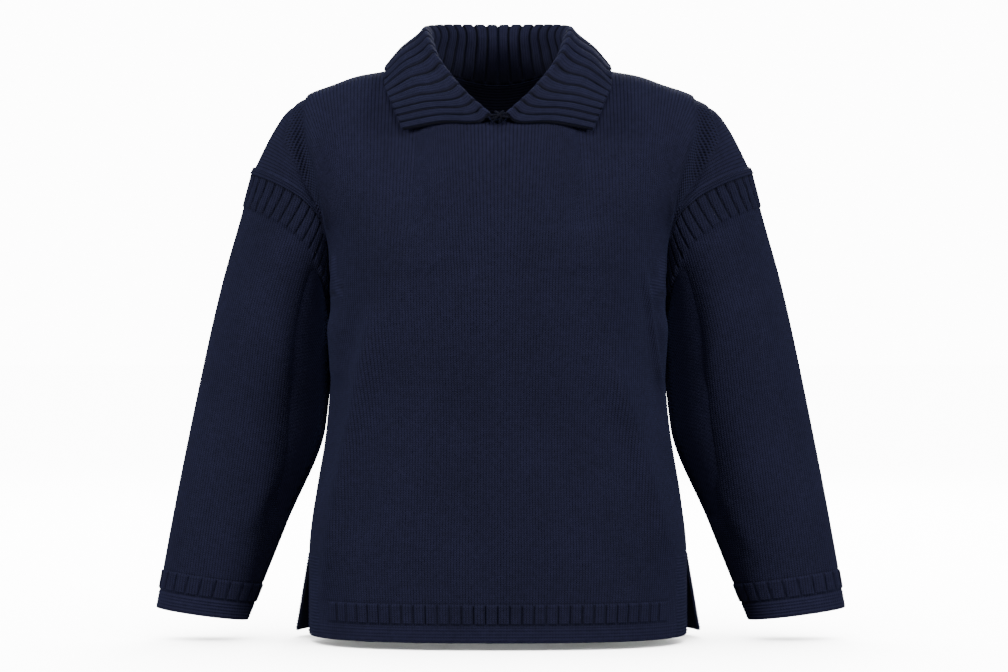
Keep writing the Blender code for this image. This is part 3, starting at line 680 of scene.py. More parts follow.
def fold_rise(table, key, places):
    """The rise of a table's folds or creases at places on a piece, which are pairs of distances."""
    rise = np.zeros(places.shape[:-1])
    for own, *ends, half_width, height in table:
        if own != key:
            continue
        start = np.array(ends[:2])
        line = np.array(ends[2:]) - start
        share = (places - start) @ line / (line @ line)
        aside = np.linalg.norm(places - start - np.clip(share, 0, 1)[..., None] * line, axis=-1)
        fade = ease(share / FOLD_START + FOLD_OPEN) * ease((1 - share) / FOLD_END + FOLD_OPEN)
        rise += height * fade * np.exp(-(aside / half_width) ** 2)
    return rise


def panel_sheet(panel):
    """The outer surface of the front or the back: across from left to right, up from hem to shoulder."""
    side = -1 if panel == "front" else 1
    share = np.linspace(0, 1, HALF_GRID)
    ups = np.linspace(0, 1, FINE_GRID)
    rows = []
    for up in ups:
        halves = []
        for reach in (0.0, RIGHT_REACH):
            if up <= 1 - YOKE_PART:
                height = HEM + (UNDERARM - HEM) * up / (1 - YOKE_PART)
                across, depth, level = body_row(panel, height, share)
            else:
                across, depth, level = yoke_row(panel, (1 - up) / YOKE_PART, share, reach)
            halves.append(np.stack([across, side * (depth + SEAM / 2), level], axis=1))
        rows.append(np.concatenate([halves[0][:0:-1] * np.array([-1, 1, 1]), halves[1]]))
    sheet = Sheet(np.array(rows))
    shares = np.abs(np.linspace(-1, 1, sheet.points.shape[1]))
    rise = fold_rise(FOLDS, panel, sheet.points[..., (0, 2)]) * (1 - shares ** EDGE_HOLD)
    outward = sheet.normals * (1 if panel == "front" else -1)
    sheet.points = sheet.points + outward * rise[..., None]
    sheet.find_normals()
    if panel == "back":
        sheet.normals = -sheet.normals
    sheet.normals[:, (0, -1), 1] = 0
    sheet.normals[-1, shares >= NECK_SHARE, 1] = 0
    sheet.normals = unit(sheet.normals)
    return sheet


def up_of_fall(fall):
    """The share up a panel of a row of its yoke."""
    return 1 - fall * YOKE_PART


def up_of_height(height):
    """The share up a panel of a level row of its body."""
    return (height - HEM) / (UNDERARM - HEM) * (1 - YOKE_PART)


def across_of(share):
    """A share from the middle, -1 to 1, as a share from left to right."""
    return (np.asarray(share, float) + 1) / 2


def sleeve_sheet(panels, side):
    """A sleeve's outer surface: across from the drop round its front, up from seam to cuff.

    Side is 1 for +X and -1 for -X, and the surface is given as on the +X side.
    """
    turns = np.linspace(0, 2 * math.pi, FINE_GRID)
    falls = np.where(turns <= math.pi, turns, 2 * math.pi - turns) / math.pi
    front, _ = panels["front"].read(across_of(side), up_of_fall(falls))
    back, _ = panels["back"].read(across_of(side), up_of_fall(falls))
    loop = np.where((turns <= math.pi)[:, None], front, back) * np.array([side, 1, 1])
    reach = RIGHT_REACH if side > 0 else 0.0
    rows = []
    first = None
    for share in np.linspace(0, 1, FINE_GRID):
        size = {name: float(through(SLEEVE["share"], sizes, share)) for name, sizes in SLEEVE.items()}
        near = (1 + np.cos(turns)) / 2
        outer_x = size["outer_x"] + reach * (1 - REACH_FADE * share)
        x = size["inner_x"] + (outer_x - size["inner_x"]) * near
        z = size["inner_z"] + (size["outer_z"] - size["inner_z"]) * near
        y = size["shift"] - size["depth"] * np.sin(turns)
        row = np.stack([x, y, z], axis=1)
        if first is None:
            first = loop - row
        row = row + first * (1 - ease(share / HEAD_FADE))
        room = UNDERARM_ROOM * ease(share / ROOM_START) * (1 - ease((share - ROOM_HOLD) / ROOM_FADE))
        row[:, 0] += room * np.exp(-((turns - math.pi) / ROOM_WIDTH) ** 2)
        rows.append(row)
    sheet = Sheet(np.array(rows))
    sheet.normals[:, 0] = unit(sheet.normals[:, 0] + sheet.normals[:, -1])
    sheet.normals[:, -1] = sheet.normals[:, 0]
    centre = sheet.points.mean(axis=1, keepdims=True)
    if ((sheet.points - centre) * sheet.normals).sum() < 0:
        sheet.normals = -sheet.normals
    return sheet


def neck_line(panels):
    """The edge that the collar is sewn to, from the middle of the front round the back, and its normals."""
    shares = np.linspace(0, NECK_SHARE, NECK_POINTS)
    turns = ((-shares, "front"), (-shares[-2::-1], "back"), (shares[1:-1], "back"), (shares[::-1], "front"))
    read = [panels[panel].read(across_of(turn), 1.0) for turn, panel in turns]
    return [np.concatenate([pair[part] for pair in read]) for part in (0, 1)]


def spline(knots, values, at):
    """A smooth curve through knots, for each of many columns at once."""
    slope = np.gradient(values, knots, axis=0)
    cell = np.clip(np.searchsorted(knots, at, side="right") - 1, 0, len(knots) - 2)
    width = (knots[cell + 1] - knots[cell])[:, None, None]
    part = ((at - knots[cell])[:, None, None]) / width
    return hermite(values[cell], values[cell + 1], slope[cell], slope[cell + 1], part, width)


def collar_guides(places, seam_inner):
    """The knots of the collar's showing face at places from -1 (one front end) round the back to 1."""
    share = np.abs(places)
    side = np.sign(places)
    size = {name: through(COLLAR["share"], sizes, share) for name, sizes in COLLAR.items()}
    crest = np.stack([size["crest_x"] * side, size["crest_y"], size["crest_z"]], axis=1)
    edge = np.stack([size["edge_x"] * side, size["edge_y"], size["edge_z"]], axis=1)
    out = unit((edge - crest) * np.array([1, 1, 0]))
    over = out * FOLD_RADIUS
    under = np.array([0, 0, FOLD_RADIUS])
    inner_shoulder = crest - over - under
    outer_shoulder = crest + over - under
    stand = (seam_inner + inner_shoulder) / 2 - out * STAND_HOLLOW
    fall = (outer_shoulder + edge) / 2 + np.array([0, 0, 1]) * FALL_SWELL + out * FALL_SWELL / 2
    return np.array([seam_inner, stand, inner_shoulder, crest, outer_shoulder, fall, edge])


def collar_face(places, seam_edge, rows, panels):
    """The collar's showing face, its fall laid over the yoke."""
    face = spline(COLLAR_KNOTS, collar_guides(places, seam_edge), rows)
    falling = rows > FALL_FROM
    face[falling] = rest_on(face[falling], panels, COLLAR_CLEAR)
    return face


def rest_on(points, panels, clearance):
    """Points moved out of the yoke, along its normals, until they stand clear of it."""
    first = int((1 - YOKE_PART) * panels["front"].points.shape[0])
    ground = np.concatenate([panels[panel].points[first:].reshape(-1, 3) for panel in panels])
    normals = np.concatenate([panels[panel].normals[first:].reshape(-1, 3) for panel in panels])
    moved = points.reshape(-1, 3).copy()
    for start in range(0, len(moved), BATCH):
        batch = moved[start:start + BATCH]
        apart = ((batch[:, None] - ground[None]) ** 2).sum(axis=2)
        nearest = apart.argmin(axis=1)
        out = normals[nearest]
        stands = ((batch - ground[nearest]) * out).sum(axis=1)
        moved[start:start + BATCH] = batch + out * np.maximum(clearance - stands, 0)[:, None]
    return moved.reshape(points.shape)


# Relief of the knit, worked out over a grid of points

def since(value, low, soft):
    """One above a value, fading to zero over a soft width."""
    return ease((value - low) / soft + 0.5)


def until(value, high, soft):
    """One below a value, fading to zero over a soft width."""
    return ease((high - value) / soft + 0.5)


def window(value, low, high, soft):
    """One between two values, fading to zero over a soft width at each end."""
    return since(value, low, soft) * until(value, high, soft)


def ribbed(phase, profile):
    """A row of ribs: 0 in the grooves and about 1 on the tops, whose crown is a little higher."""
    groove, slope = profile
    part = phase - np.floor(phase)
    aside = np.minimum(part, 1 - part)
    return ease((aside - groove) / slope) * (1 - CROWN + CROWN * np.sin(math.pi * part))


def grid_lengths(points, axis):
    """The distance along a grid's rows (axis 1) or columns (axis 0), from its first point."""
    steps = np.linalg.norm(np.diff(points, axis=axis), axis=-1)
    total = np.cumsum(steps, axis=axis)
    pad = [(1, 0), (0, 0)] if axis == 0 else [(0, 0), (1, 0)]
    return np.pad(total, pad)


def bead(value, at, half_width):
    """One at a value, fading away on both sides of it."""
    return np.exp(-((value - at) / half_width) ** 2)


def beads(value, low, high, aside, half_width):
    """Two beads, one below a low value and one above a high one."""
    return bead(value, low - aside, half_width) + bead(value, high + aside, half_width)


def rounding(distance):
    """How far a face drops to its rim, close to an edge."""
    return -ROUND * np.clip(1 - distance / ROUND, 0, 1) ** 2


# Meshes

def quads(first, rows, columns, wrap):
    """Corner numbers of a grid's faces, its points numbered row by row from first."""
    stride = columns - 1 if wrap else columns
    j, i = np.meshgrid(np.arange(rows - 1), np.arange(columns - 1), indexing="ij")
    i2 = (i + 1) % stride if wrap else i + 1
    corners = [(j, i), (j, i2), (j + 1, i2), (j + 1, i)]
    return np.stack([first + row * stride + column for row, column in corners], axis=-1).reshape(-1, 4)


def rim(low, high, low_at, high_at):
    """Triangles between two chains of (point number, map place), whose spacing need not match."""
    made = []
    i = 0
    j = 0
    while i < len(low) - 1 or j < len(high) - 1:
        if j == len(high) - 1 or (i < len(low) - 1 and low_at[i + 1] <= high_at[j + 1]):
            made.append((low[i], low[i + 1], high[j]))
            i += 1
        else:
            made.append((low[i], high[j + 1], high[j]))
            j += 1
    return made


def placed(name, data, place=(0, 0, 0), turn=(0, 0, 0)):
    """An object in the scene, with its data, its place and its turn."""
    made = bpy.data.objects.new(name, data)
    made.location = place
    made.rotation_euler = turn
    bpy.context.scene.collection.objects.link(made)
    return made


def choose(piece):
    """Select a piece and make it the active one."""
    bpy.context.view_layer.objects.active = piece
    piece.select_set(True)


def smoothed(piece, material):
    """The active piece, shaded smooth and given its material."""
    bpy.ops.object.shade_smooth_by_angle(angle=SHARP_ANGLE)
    piece.select_set(False)
    piece.data.materials.append(material)
    return piece


def cloth(name, showing, hidden, wrap, material):
    """A thin closed wall of cloth from the grids of its showing and its hidden face.

    A face is a dictionary of points, knit (metres across and up), and its marks, each a grid.
    """
    points = []
    faces = []
    knit = []
    # The groove mark holds painted shade, which the material darkens the colour by
    marks = {"groove": [], "purl": [], "moss": []}
    chains = []
    for face in (showing, hidden):
        rows, columns = face["points"].shape[:2]
        first = len(points)
        kept = columns - 1 if wrap else columns
        points.extend(face["points"][:, :kept].reshape(-1, 3).tolist())
        for mark, values in marks.items():
            grid = face.get(mark, np.zeros((rows, columns)))
            values.extend(grid[:, :kept].ravel().tolist())
        found = quads(first, rows, columns, wrap)
        faces.extend(found.tolist())
        j, i = np.meshgrid(np.arange(rows - 1), np.arange(columns - 1), indexing="ij")
        corners = [(j, i), (j, i + 1), (j + 1, i + 1), (j + 1, i)]
        knit.append(np.stack([face["knit"][pair] for pair in corners], axis=2).reshape(-1, 2))
        numbers = first + np.arange(rows)[:, None] * kept + np.arange(columns)[None] % kept
        chains.append((numbers, face["knit"]))
    (one, one_knit), (other, other_knit) = chains
    edges = [(0, slice(None)), (-1, slice(None))]
    if not wrap:
        edges += [(slice(None), 0), (slice(None), -1)]
    for edge in edges:
        low = list(zip(one[edge].tolist(), one_knit[edge].tolist()))
        high = list(zip(other[edge].tolist(), other_knit[edge].tolist()))
        ats = []
        for numbers in (one[edge], other[edge]):
            ats.append(along(np.array([points[number] for number in numbers])))
            ats[-1] = ats[-1] / ats[-1][-1]
        found = rim(low, high, *ats)
        faces.extend([corner[0] for corner in face] for face in found)
        knit.append(np.array([corner[1] for face in found for corner in face]))
    mesh = bpy.data.meshes.new(name)
    mesh.from_pydata(points, [], faces)
    layer = mesh.uv_layers.new(name="knit")
    layer.data.foreach_set("uv", np.concatenate(knit).astype(np.float32).ravel())
    for mark, values in marks.items():
        attribute = mesh.attributes.new(mark, "FLOAT", "POINT")
        attribute.data.foreach_set("value", np.array(values, np.float32))
    piece = placed(name, mesh)
    choose(piece)
    bpy.ops.object.mode_set(mode="EDIT")
    bpy.ops.mesh.select_all(action="SELECT")
    bpy.ops.mesh.normals_make_consistent(inside=False)
    bpy.ops.object.mode_set(mode="OBJECT")
    return smoothed(piece, material)


def spans(table):
    """Places in evenly spaced spans, each given by its start, its end and how many it has."""
    return np.unique(np.concatenate([np.linspace(*span) for span in table]))


# The front and the back

def panel_columns():
    """Places across a panel: closer together at the grooves of the hem's ribs, and then beside them."""
    ribs = (np.arange(HEM_RIBS)[:, None] + RIB_PLACES[None]).ravel() / HEM_RIBS
    ribs = (np.append(ribs, 1.0) * 2 - 1) * BAND_REACH
    outer = np.concatenate([spans(SIDE_COLUMNS)[1:], 1 + LAP_SHARE * np.array(LAP_COLUMNS)])
    return np.concatenate([-outer[::-1], ribs, outer])


def panel_rows():
    """Shares up a panel, from the shoulder down: close together over the hem's bands."""
    plain = np.arange(UNDERARM - PLAIN_ROW, SLIT_TOP, -PLAIN_ROW)
    banded = np.arange(SLIT_TOP, HEM + ROUND, -BANDED_ROW)
    yoke = up_of_fall(np.linspace(0, 1, YOKE_ROWS))
    return np.concatenate([yoke, up_of_height(np.concatenate([plain, banded, HEM + np.array(EDGE_ROWS)]))])


def panel_grid(sheet, ups):
    """Points and normals over a panel, whose edges at the armholes reach out over the sleeves' heads."""
    lapped = ease((ups - up_of_fall(1)) / LAP_FADE)[:, None]
    across = panel_columns()[None] / (1 + LAP_SHARE * (1 - lapped))
    beyond = np.clip((np.abs(across) - 1) / LAP_SHARE, 0, 1)
    share = np.clip(across, -1, 1)
    points, _ = sheet.read(across_of(share), ups[:, None])
    inside_edge = 1 - LAP_LEAN * lapped
    _, normals = sheet.read(across_of(np.clip(share, -inside_edge, inside_edge)), ups[:, None])
    edge = len(LAP_COLUMNS)
    for first, last, near in ((0, edge, edge), (-edge, None, -edge - 1)):
        inner = near + (1 if near > 0 else -1)
        outward = unit(points[:, near] - points[:, inner])[:, None]
        points[:, first:last] = points[:, first:last] + outward * (LAP * beyond[:, first:last])[..., None]
    return points, normals, share, lapped


def hem_forms(share, up):
    """The hem's ribs and the lines above and below them: rise, painted shade and where the band is."""
    phase = (share + BAND_REACH) / (2 * BAND_REACH) * HEM_RIBS
    band = window(up, HEM_TO_BOTTOM, HEM_TO_TOP, BAND_STEP) * until(np.abs(share), BAND_REACH, BAND_END)
    ribs = ribbed(phase, FLAT_RIB)
    lines = beads(up, HEM_TO_BOTTOM, HEM_TO_TOP, LINE_ASIDE, LINE_WIDTH)
    lines = lines * until(np.abs(share), BAND_REACH + LINE_END, LINE_END)
    rise = band * (RIB_FLOOR + (BAND_RIB_TOP - RIB_FLOOR) * ribs) - LINE_DEPTH * lines
    return rise, np.maximum(HEM_SHADE * band * (1 - ribs), LINE_SHADE * lines), band


def moss_forms(x, z, in_yoke):
    """The moss stitch with its border, and the chest's step beside it: rise, painted shade and where it is.
    """
    out = np.abs(x) - np.where(x > 0, RIGHT_REACH, 0) * ease((np.abs(x) - REACH_FROM) / REACH_WIDTH)
    heights = MOSS["height"]
    inner, outer = (np.interp(z, heights, MOSS[name]) for name in ("inner", "outer"))
    above = since(z, heights[0], MOSS_FADE) * in_yoke
    moss = window(out, inner, outer, MOSS_SOFT) * above
    lines = beads(out, inner, outer, MOSS_ASIDE, MOSS_LINE) * above
    fold = out - inner + STEP_WIDTH
    step = (1 - 2 * ease(fold / STEP_WIDTH)) * (1 - ease(np.abs(fold) / STEP_FADE))
    step = step * since(z, heights[0], STEP_SOFT) * in_yoke
    return MOSS_RISE * moss - MOSS_DEPTH * lines + STEP_RISE * step, LINE_SHADE * lines, moss


def purl_forms(x, z, up, band, open_side):
    """Purl ridges at the hem, beside the slits and under the arms: rise, painted shade and where they are."""
    inward = np.abs(x[:, (0, -1)]).max(axis=1)[:, None] - np.abs(x)
    room, soft = WELT_ROOM
    welt = until(up, HEM_TO_BOTTOM - room, soft) * (1 - band)
    strip = open_side * until(inward, SLIT_STRIP, STRIP_SOFT)
    low, middle, high = PATCH_HEIGHTS
    patch = until(inward, PATCH_IN, PATCH_SOFT) * window(z, low, high, PATCH_END)
    wide = until(inward, PATCH_IN_LOW, PATCH_SOFT) * window(z, low, middle, PATCH_END)
    purl = WELT_PURL * welt + strip + PATCH_PURL * np.maximum(patch, wide)
    purl = np.clip(purl, 0, PATCH_PURL)
    ridges = np.cos(2 * math.pi * up / PURL_PITCH)
    return purl * PURL_RISE * ridges, PURL_SHADE * purl * np.clip(-ridges, 0, 1), purl


def edge_forms(share, aside, up, down, lapped, open_side):
    """The slits' cords, the armholes' bound edges, the seams and the rounded rims: rise and painted shade."""
    chain = 0.5 + 0.5 * np.cos(2 * math.pi * (aside / BOUND_PITCH - 0.5))
    bound = lapped * until(aside, BOUND_BAND, BOUND_SOFT)
    seam = (1 - lapped) * (1 - open_side) * bead(aside, 0, SEAM_WIDTH)
    rise = CORD_RISE * open_side * until(aside, CORD_WIDTH, CORD_SOFT) - SIDE_DIP * seam
    rise = rise + bound * LAP_RISE * (BOUND_FLAT + (1 - BOUND_FLAT) * chain)
    rise = rise - SEAM_DIP * bead(down, 0, SEAM_WIDTH) * (np.abs(share) > NECK_SHARE)
    rise = rise + rounding(up) + rounding(aside) * np.maximum(lapped, open_side)
    cord = CORD_SHADE * open_side * bead(aside, *CORD_SHADE_LINE)
    return rise, np.maximum.reduce([cord, BOUND_SHADE * bound * (1 - chain), SIDE_SEAM_SHADE * seam])


def panel_piece(panel, sheet, material):
    """A body panel: hem ribs, slit strips, moss stitch, lapped armhole edges and creases."""
    ups = panel_rows()
    points, normals, share, lapped = panel_grid(sheet, ups)
    x, z = points[..., 0], points[..., 2]
    side = grid_lengths(points, 1)
    aside = np.minimum(side, side[:, -1:] - side)
    down = grid_lengths(points, 0)
    up = down[-1:] - down
    open_side = ease((SLIT_TOP + SLIT_FADE - z) / SLIT_FADE)
    crease = fold_rise(CREASES, panel, points[..., (0, 2)]) * ease(aside / CREASE_EDGE)
    hem, hem_shade, band = hem_forms(share, up)
    mossy, moss_shade, moss = moss_forms(x, z, (ups >= up_of_fall(1))[:, None])
    ridges, purl_shade, purl = purl_forms(x, z, up, band, open_side)
    edges, edge_shade = edge_forms(share, aside, up, down, lapped, open_side)
    # The groove mark is painted shade in the hollows of the ribs, lines, purl, cords, chains and seams
    shown = {
        "points": points + normals * (crease + hem + mossy + ridges + edges)[..., None],
        "knit": np.stack([share * HALF_WIDTH, up], axis=-1),
        "groove": np.maximum.reduce([hem_shade, moss_shade, purl_shade, edge_shade]),
        "purl": purl,
        "moss": moss,
    }
    across_count, yoke_count, body_count = PANEL_INSIDE
    share = np.linspace(-1, 1, across_count)
    yoke = up_of_fall(np.linspace(0, 1, yoke_count))
    ups = np.concatenate([yoke, up_of_height(np.linspace(UNDERARM, HEM, body_count)[1:])])
    points, normals = sheet.read(across_of(share)[None], ups[:, None])
    across = np.broadcast_to(share[None], points.shape[:2])
    inset = fold_rise(CREASES, panel, points[..., (0, 2)]) * ease((1 - np.abs(across)) / INSIDE_EDGE) - WALL
    # The inside is painted with shade all over, through its groove mark
    inside = {
        "points": points + normals * inset[..., None],
        "knit": np.stack([across * HALF_WIDTH, grid_lengths(points, 0)], axis=-1),
        "groove": np.full(points.shape[:2], INSIDE_SHADE),
        "purl": np.ones(points.shape[:2]),
    }
    piece = cloth(panel + "_knit", shown, inside, False, material)
    return piece


# The sleeves

def sleeve_rows(length):
    """Distances down a sleeve: close together over its head, its cuff and its edge."""
    return np.concatenate([
        SEAM_ROWS,
        np.arange(HEAD_START, HEAD_BAND[1] + BAND_ROOM, HEAD_ROW),
        np.arange(HEAD_BAND[1] + LONG_ROOM, length - CUFF_BAND[1] - LONG_ROOM, LONG_ROW),
        np.arange(length - CUFF_BAND[1] - BAND_ROOM, length - ROUND, CUFF_ROW),
        length - np.array(EDGE_ROWS),
    ])


def sleeve_folds(side, turn, share, length):
    """The rise of a sleeve's soft folds, which keep off its bands and its seam."""
    folds = []
    for own, turn_from, share_from, turn_to, share_to, *form in SLEEVE_FOLDS:
        start = ((turn_from - 0.5) * SLEEVE_ROUND, share_from * length)
        end = ((turn_to - 0.5) * SLEEVE_ROUND, share_to * length)
        folds.append((own, *start, *end, *form))
    turn = np.where(turn > 1, turn - 1, turn) - 0.5
    rise = fold_rise(folds, side, np.stack([turn * SLEEVE_ROUND, share * length], axis=-1))
    (first, first_soft), (last, last_soft) = SLEEVE_FOLD_FROM, SLEEVE_FOLD_TO
    rise = rise * ease((share - first) / first_soft) * ease((last - share) / last_soft)
    return rise * ease(np.abs(turn) / SLEEVE_FOLD_SEAM)


def sleeve_piece(name, side, sheet, material):
    """A sleeve: ribbed head, plain length with soft folds, ribbed cuff and purl band below it."""
    turns = np.linspace(0.5, 1.5, SLEEVE_COLUMNS_SHOWN)
    measured = range(0, sheet.points.shape[1], MEASURED)
    length = float(np.mean([along(sheet.points[:, i])[-1] for i in measured]))
    points, normals = sheet.read((turns % 1.0)[None], (sleeve_rows(length) / length)[:, None])
    turn = np.broadcast_to(turns[None], points.shape[:2])
    down = grid_lengths(points, 0)
    points[0] = points[0] + unit(points[0] - points[TUCK_ROW]) * TUCK
    below = down[-1:] - down
    around = grid_lengths(points, 1)
    around = around - around[:, -1:] / 2

    lean = HEAD_LEAN * np.sin(2 * math.pi * turn)
    phase = HEAD_RIBS * (turn + lean * down)
    loop = along(points[0])[-1]
    step = (phase - np.floor(phase) - 0.5) * lean * loop * loop / HEAD_RIBS
    head = window(down, HEAD_BAND[0], HEAD_BAND[1] + step, BAND_STEP)
    cuff = window(below, *CUFF_BAND, BAND_STEP)
    head_ribs = ribbed(phase, FLAT_RIB)
    cuff_ribs = ribbed(turn * CUFF_RIBS, FLAT_RIB)
    lines = beads(below, *CUFF_BAND, LINE_ASIDE, LINE_WIDTH)
    room, soft = CUFF_ROOM
    purl = CUFF_PURL * until(below, CUFF_BAND[0] - room, soft)
    ridges = np.cos(2 * math.pi * below / PURL_PITCH)
    seam = bead(np.abs(around), around[:, -1:], SEAM_WIDTH) * (down > SEAM_START)

    rise = sleeve_folds(side, turn, down / down[-1:], length)
    rise = rise + head * (RIB_FLOOR + (RIB_TOP - RIB_FLOOR) * head_ribs)
    rise = rise + cuff * (RIB_FLOOR + (BAND_RIB_TOP - RIB_FLOOR) * cuff_ribs)
    rise = rise - LINE_DEPTH * lines + purl * PURL_RISE * ridges - SEAM_DIP * seam
    rise = rise + rounding(below) - HEAD_DIP * ease(1 - down / LAP)
    # Painted shade in the grooves of the ribs, lines, purl and seam, and a painted shadow line under the
    # armhole's lap
    painted_shades = [
        head * (1 - head_ribs) + CUFF_SHADE * cuff * (1 - cuff_ribs),
        LAP_SHADOW * bead(down, *LAP_SHADOW_LINE),
        LINE_SHADE * lines,
        CUFF_PURL_SHADE * purl * np.clip(-ridges, 0, 1),
        SLEEVE_SEAM_SHADE * seam,
    ]
    mirror = np.array([side, 1, 1])
    shown = {
        "points": (points + normals * rise[..., None]) * mirror,
        "knit": np.stack([around, below], axis=-1),
        "groove": np.maximum.reduce(painted_shades),
        "purl": purl,
    }
    round_count, long_count = SLEEVE_INSIDE
    turns = np.linspace(0.5, 1.5, round_count)
    points, normals = sheet.read((turns % 1.0)[None], np.linspace(0, 1, long_count)[:, None])
    inside = {
        "points": (points - normals * WALL) * mirror,
        "knit": np.stack([grid_lengths(points, 1), grid_lengths(points, 0)], axis=-1),
        "purl": np.ones(points.shape[:2]),
    }
    piece = cloth(name + "_knit", shown, inside, True, material)
    return piece


# The collar

def collar_piece(panels, material):
    """The collar: one rib cloth that rises from the neck, folds and falls over the shoulders."""
    edge_line, edge_normals = neck_line(panels)
    distance = along(edge_line)
    span = distance[-1] - 2 * COLLAR_END

    def seam(places):
        at = COLLAR_END + (places + 1) / 2 * span
        edge = np.stack([np.interp(at, distance, edge_line[:, axis]) for axis in range(3)], axis=1)
        lift = np.stack([np.interp(at, distance, edge_normals[:, axis]) for axis in range(3)], axis=1)
        run = unit(np.gradient(edge, axis=0))
        lift = unit(lift - run * (lift * run).sum(axis=1, keepdims=True))
        return edge + lift * COLLAR_SEAM, np.cross(run, lift), lift

    guides = np.linspace(-1, 1, COLLAR_GUIDE_POINTS * COLLAR_RIBS + 1)
    rows = spans(GUIDE_ROWS)
    base = Sheet(collar_face(guides, seam(guides)[0], rows, panels))
    if base.normals[-1, len(guides) // 2, 2] < 0:
        base.normals = -base.normals
    at = np.linspace(0, 1, len(rows))

    places = np.linspace(-1, 1, COLLAR_RIB_POINTS * COLLAR_RIBS + 1)
    ups = spans(FACE_ROWS)[:, None]
    ribs = ribbed((places + 1) / 2 * COLLAR_RIBS, ROUND_RIB)
    scallop = 1 - SCALLOP * (1 - ribs[None]) * ease((ups - SCALLOP_FROM) / (1 - SCALLOP_FROM))
    points, normals = base.read(across_of(places)[None], np.interp(ups * scallop, rows, at))
    ribs = np.broadcast_to(ribs[None], points.shape[:2])
    fade = ease(ups / RIB_FADE)
    up = grid_lengths(points, 0)
    side = grid_lengths(points, 1)
    aside = np.minimum(side, side[:, -1:] - side)
    rise = fade * (COLLAR_FLOOR + (COLLAR_TOP - COLLAR_FLOOR) * ribs)
    rise = rise + rounding(up[-1:] - up) + rounding(aside) * COLLAR_EDGE
    # Painted shade between the ribs, and on the stand inside the neck
    shade = STAND_SHADE * (1 - ease(ups / STAND_SHADED))
    shown = {
        "points": points + normals * rise[..., None],
        "knit": np.stack([np.broadcast_to(places[None] * COLLAR_KNIT, points.shape[:2]), up], axis=-1),
        "groove": np.maximum(COLLAR_SHADE * fade * (1 - ribs), shade),
    }
    edge, beyond, lift = seam(guides)
    hidden_rows = np.interp(spans(HIDDEN_ROWS), rows, at)[:, None]
    points, normals = base.read(across_of(guides)[None], hidden_rows)
    ribs = ribbed((guides[None] + 1) / 2 * COLLAR_RIBS + 0.5, ROUND_RIB)
    hidden = points - normals * (COLLAR_WALL - HIDDEN_THIN + HIDDEN_RIB * ribs)[..., None]
    hidden = np.concatenate([(edge + lift * SEAM / 2 + beyond * COLLAR_WALL)[None], hidden])
    across = np.broadcast_to(guides[None] * COLLAR_KNIT, hidden.shape[:2])
    # The hidden face is painted with shade between its ribs
    inside = {
        "points": hidden,
        "knit": np.stack([across, grid_lengths(hidden, 0)], axis=-1),
        "groove": np.broadcast_to(1 - ribs, hidden.shape[:2]),
    }
    piece = cloth("collar_knit", shown, inside, False, material)
    return piece


def neck_knot(material):
    """The few yarns that tack the collar's two ends together at the point of the neck."""
    curve = bpy.data.curves.new("neck_knot", "CURVE")
    curve.dimensions = "3D"
    curve.bevel_depth = KNOT_YARN / 2
    curve.bevel_resolution = KNOT_ROUND
    curve.resolution_u = KNOT_STEPS
    for strand in KNOT:
        line = curve.splines.new("BEZIER")
        line.bezier_points.add(len(strand) - 1)
        for point, place in zip(line.bezier_points, strand):
            point.co = place
            point.handle_left_type = "AUTO"
            point.handle_right_type = "AUTO"
    curve.use_fill_caps = True
    choose(placed("neck_knot", curve))
    bpy.ops.object.convert(target="MESH")
    return smoothed(bpy.context.object, material)


# Materials

def linear(colour):
    """An sRGB hex colour as linear values."""
    parts = [int(colour[i:i + 2], 16) / 255 for i in (1, 3, 5)]
    return [p / 12.92 if p <= 0.04045 else ((p + 0.055) / 1.055) ** 2.4 for p in parts] + [1.0]


def node(tree, kind, *values, sockets=None, output=0, **settings):
    """A new node's output. Its first inputs take the values in order, and sockets has those of others."""
    made = tree.nodes.new("ShaderNode" + kind)
    for name, value in settings.items():
        setattr(made, name, value)
    for socket, value in (dict(enumerate(values)) | (sockets or {})).items():
        if isinstance(value, bpy.types.NodeSocket):
            tree.links.new(value, made.inputs[socket])
        else:
            made.inputs[socket].default_value = value
    return made.outputs[output]


def surfaced(name, values):
    """A new material and its shader, with the shader's values set."""
    material = bpy.data.materials.new(name)
    material.use_nodes = True
    shader = material.node_tree.nodes["Principled BSDF"]
    for socket, value in values.items():
        shader.inputs[socket].default_value = value
    return material, shader


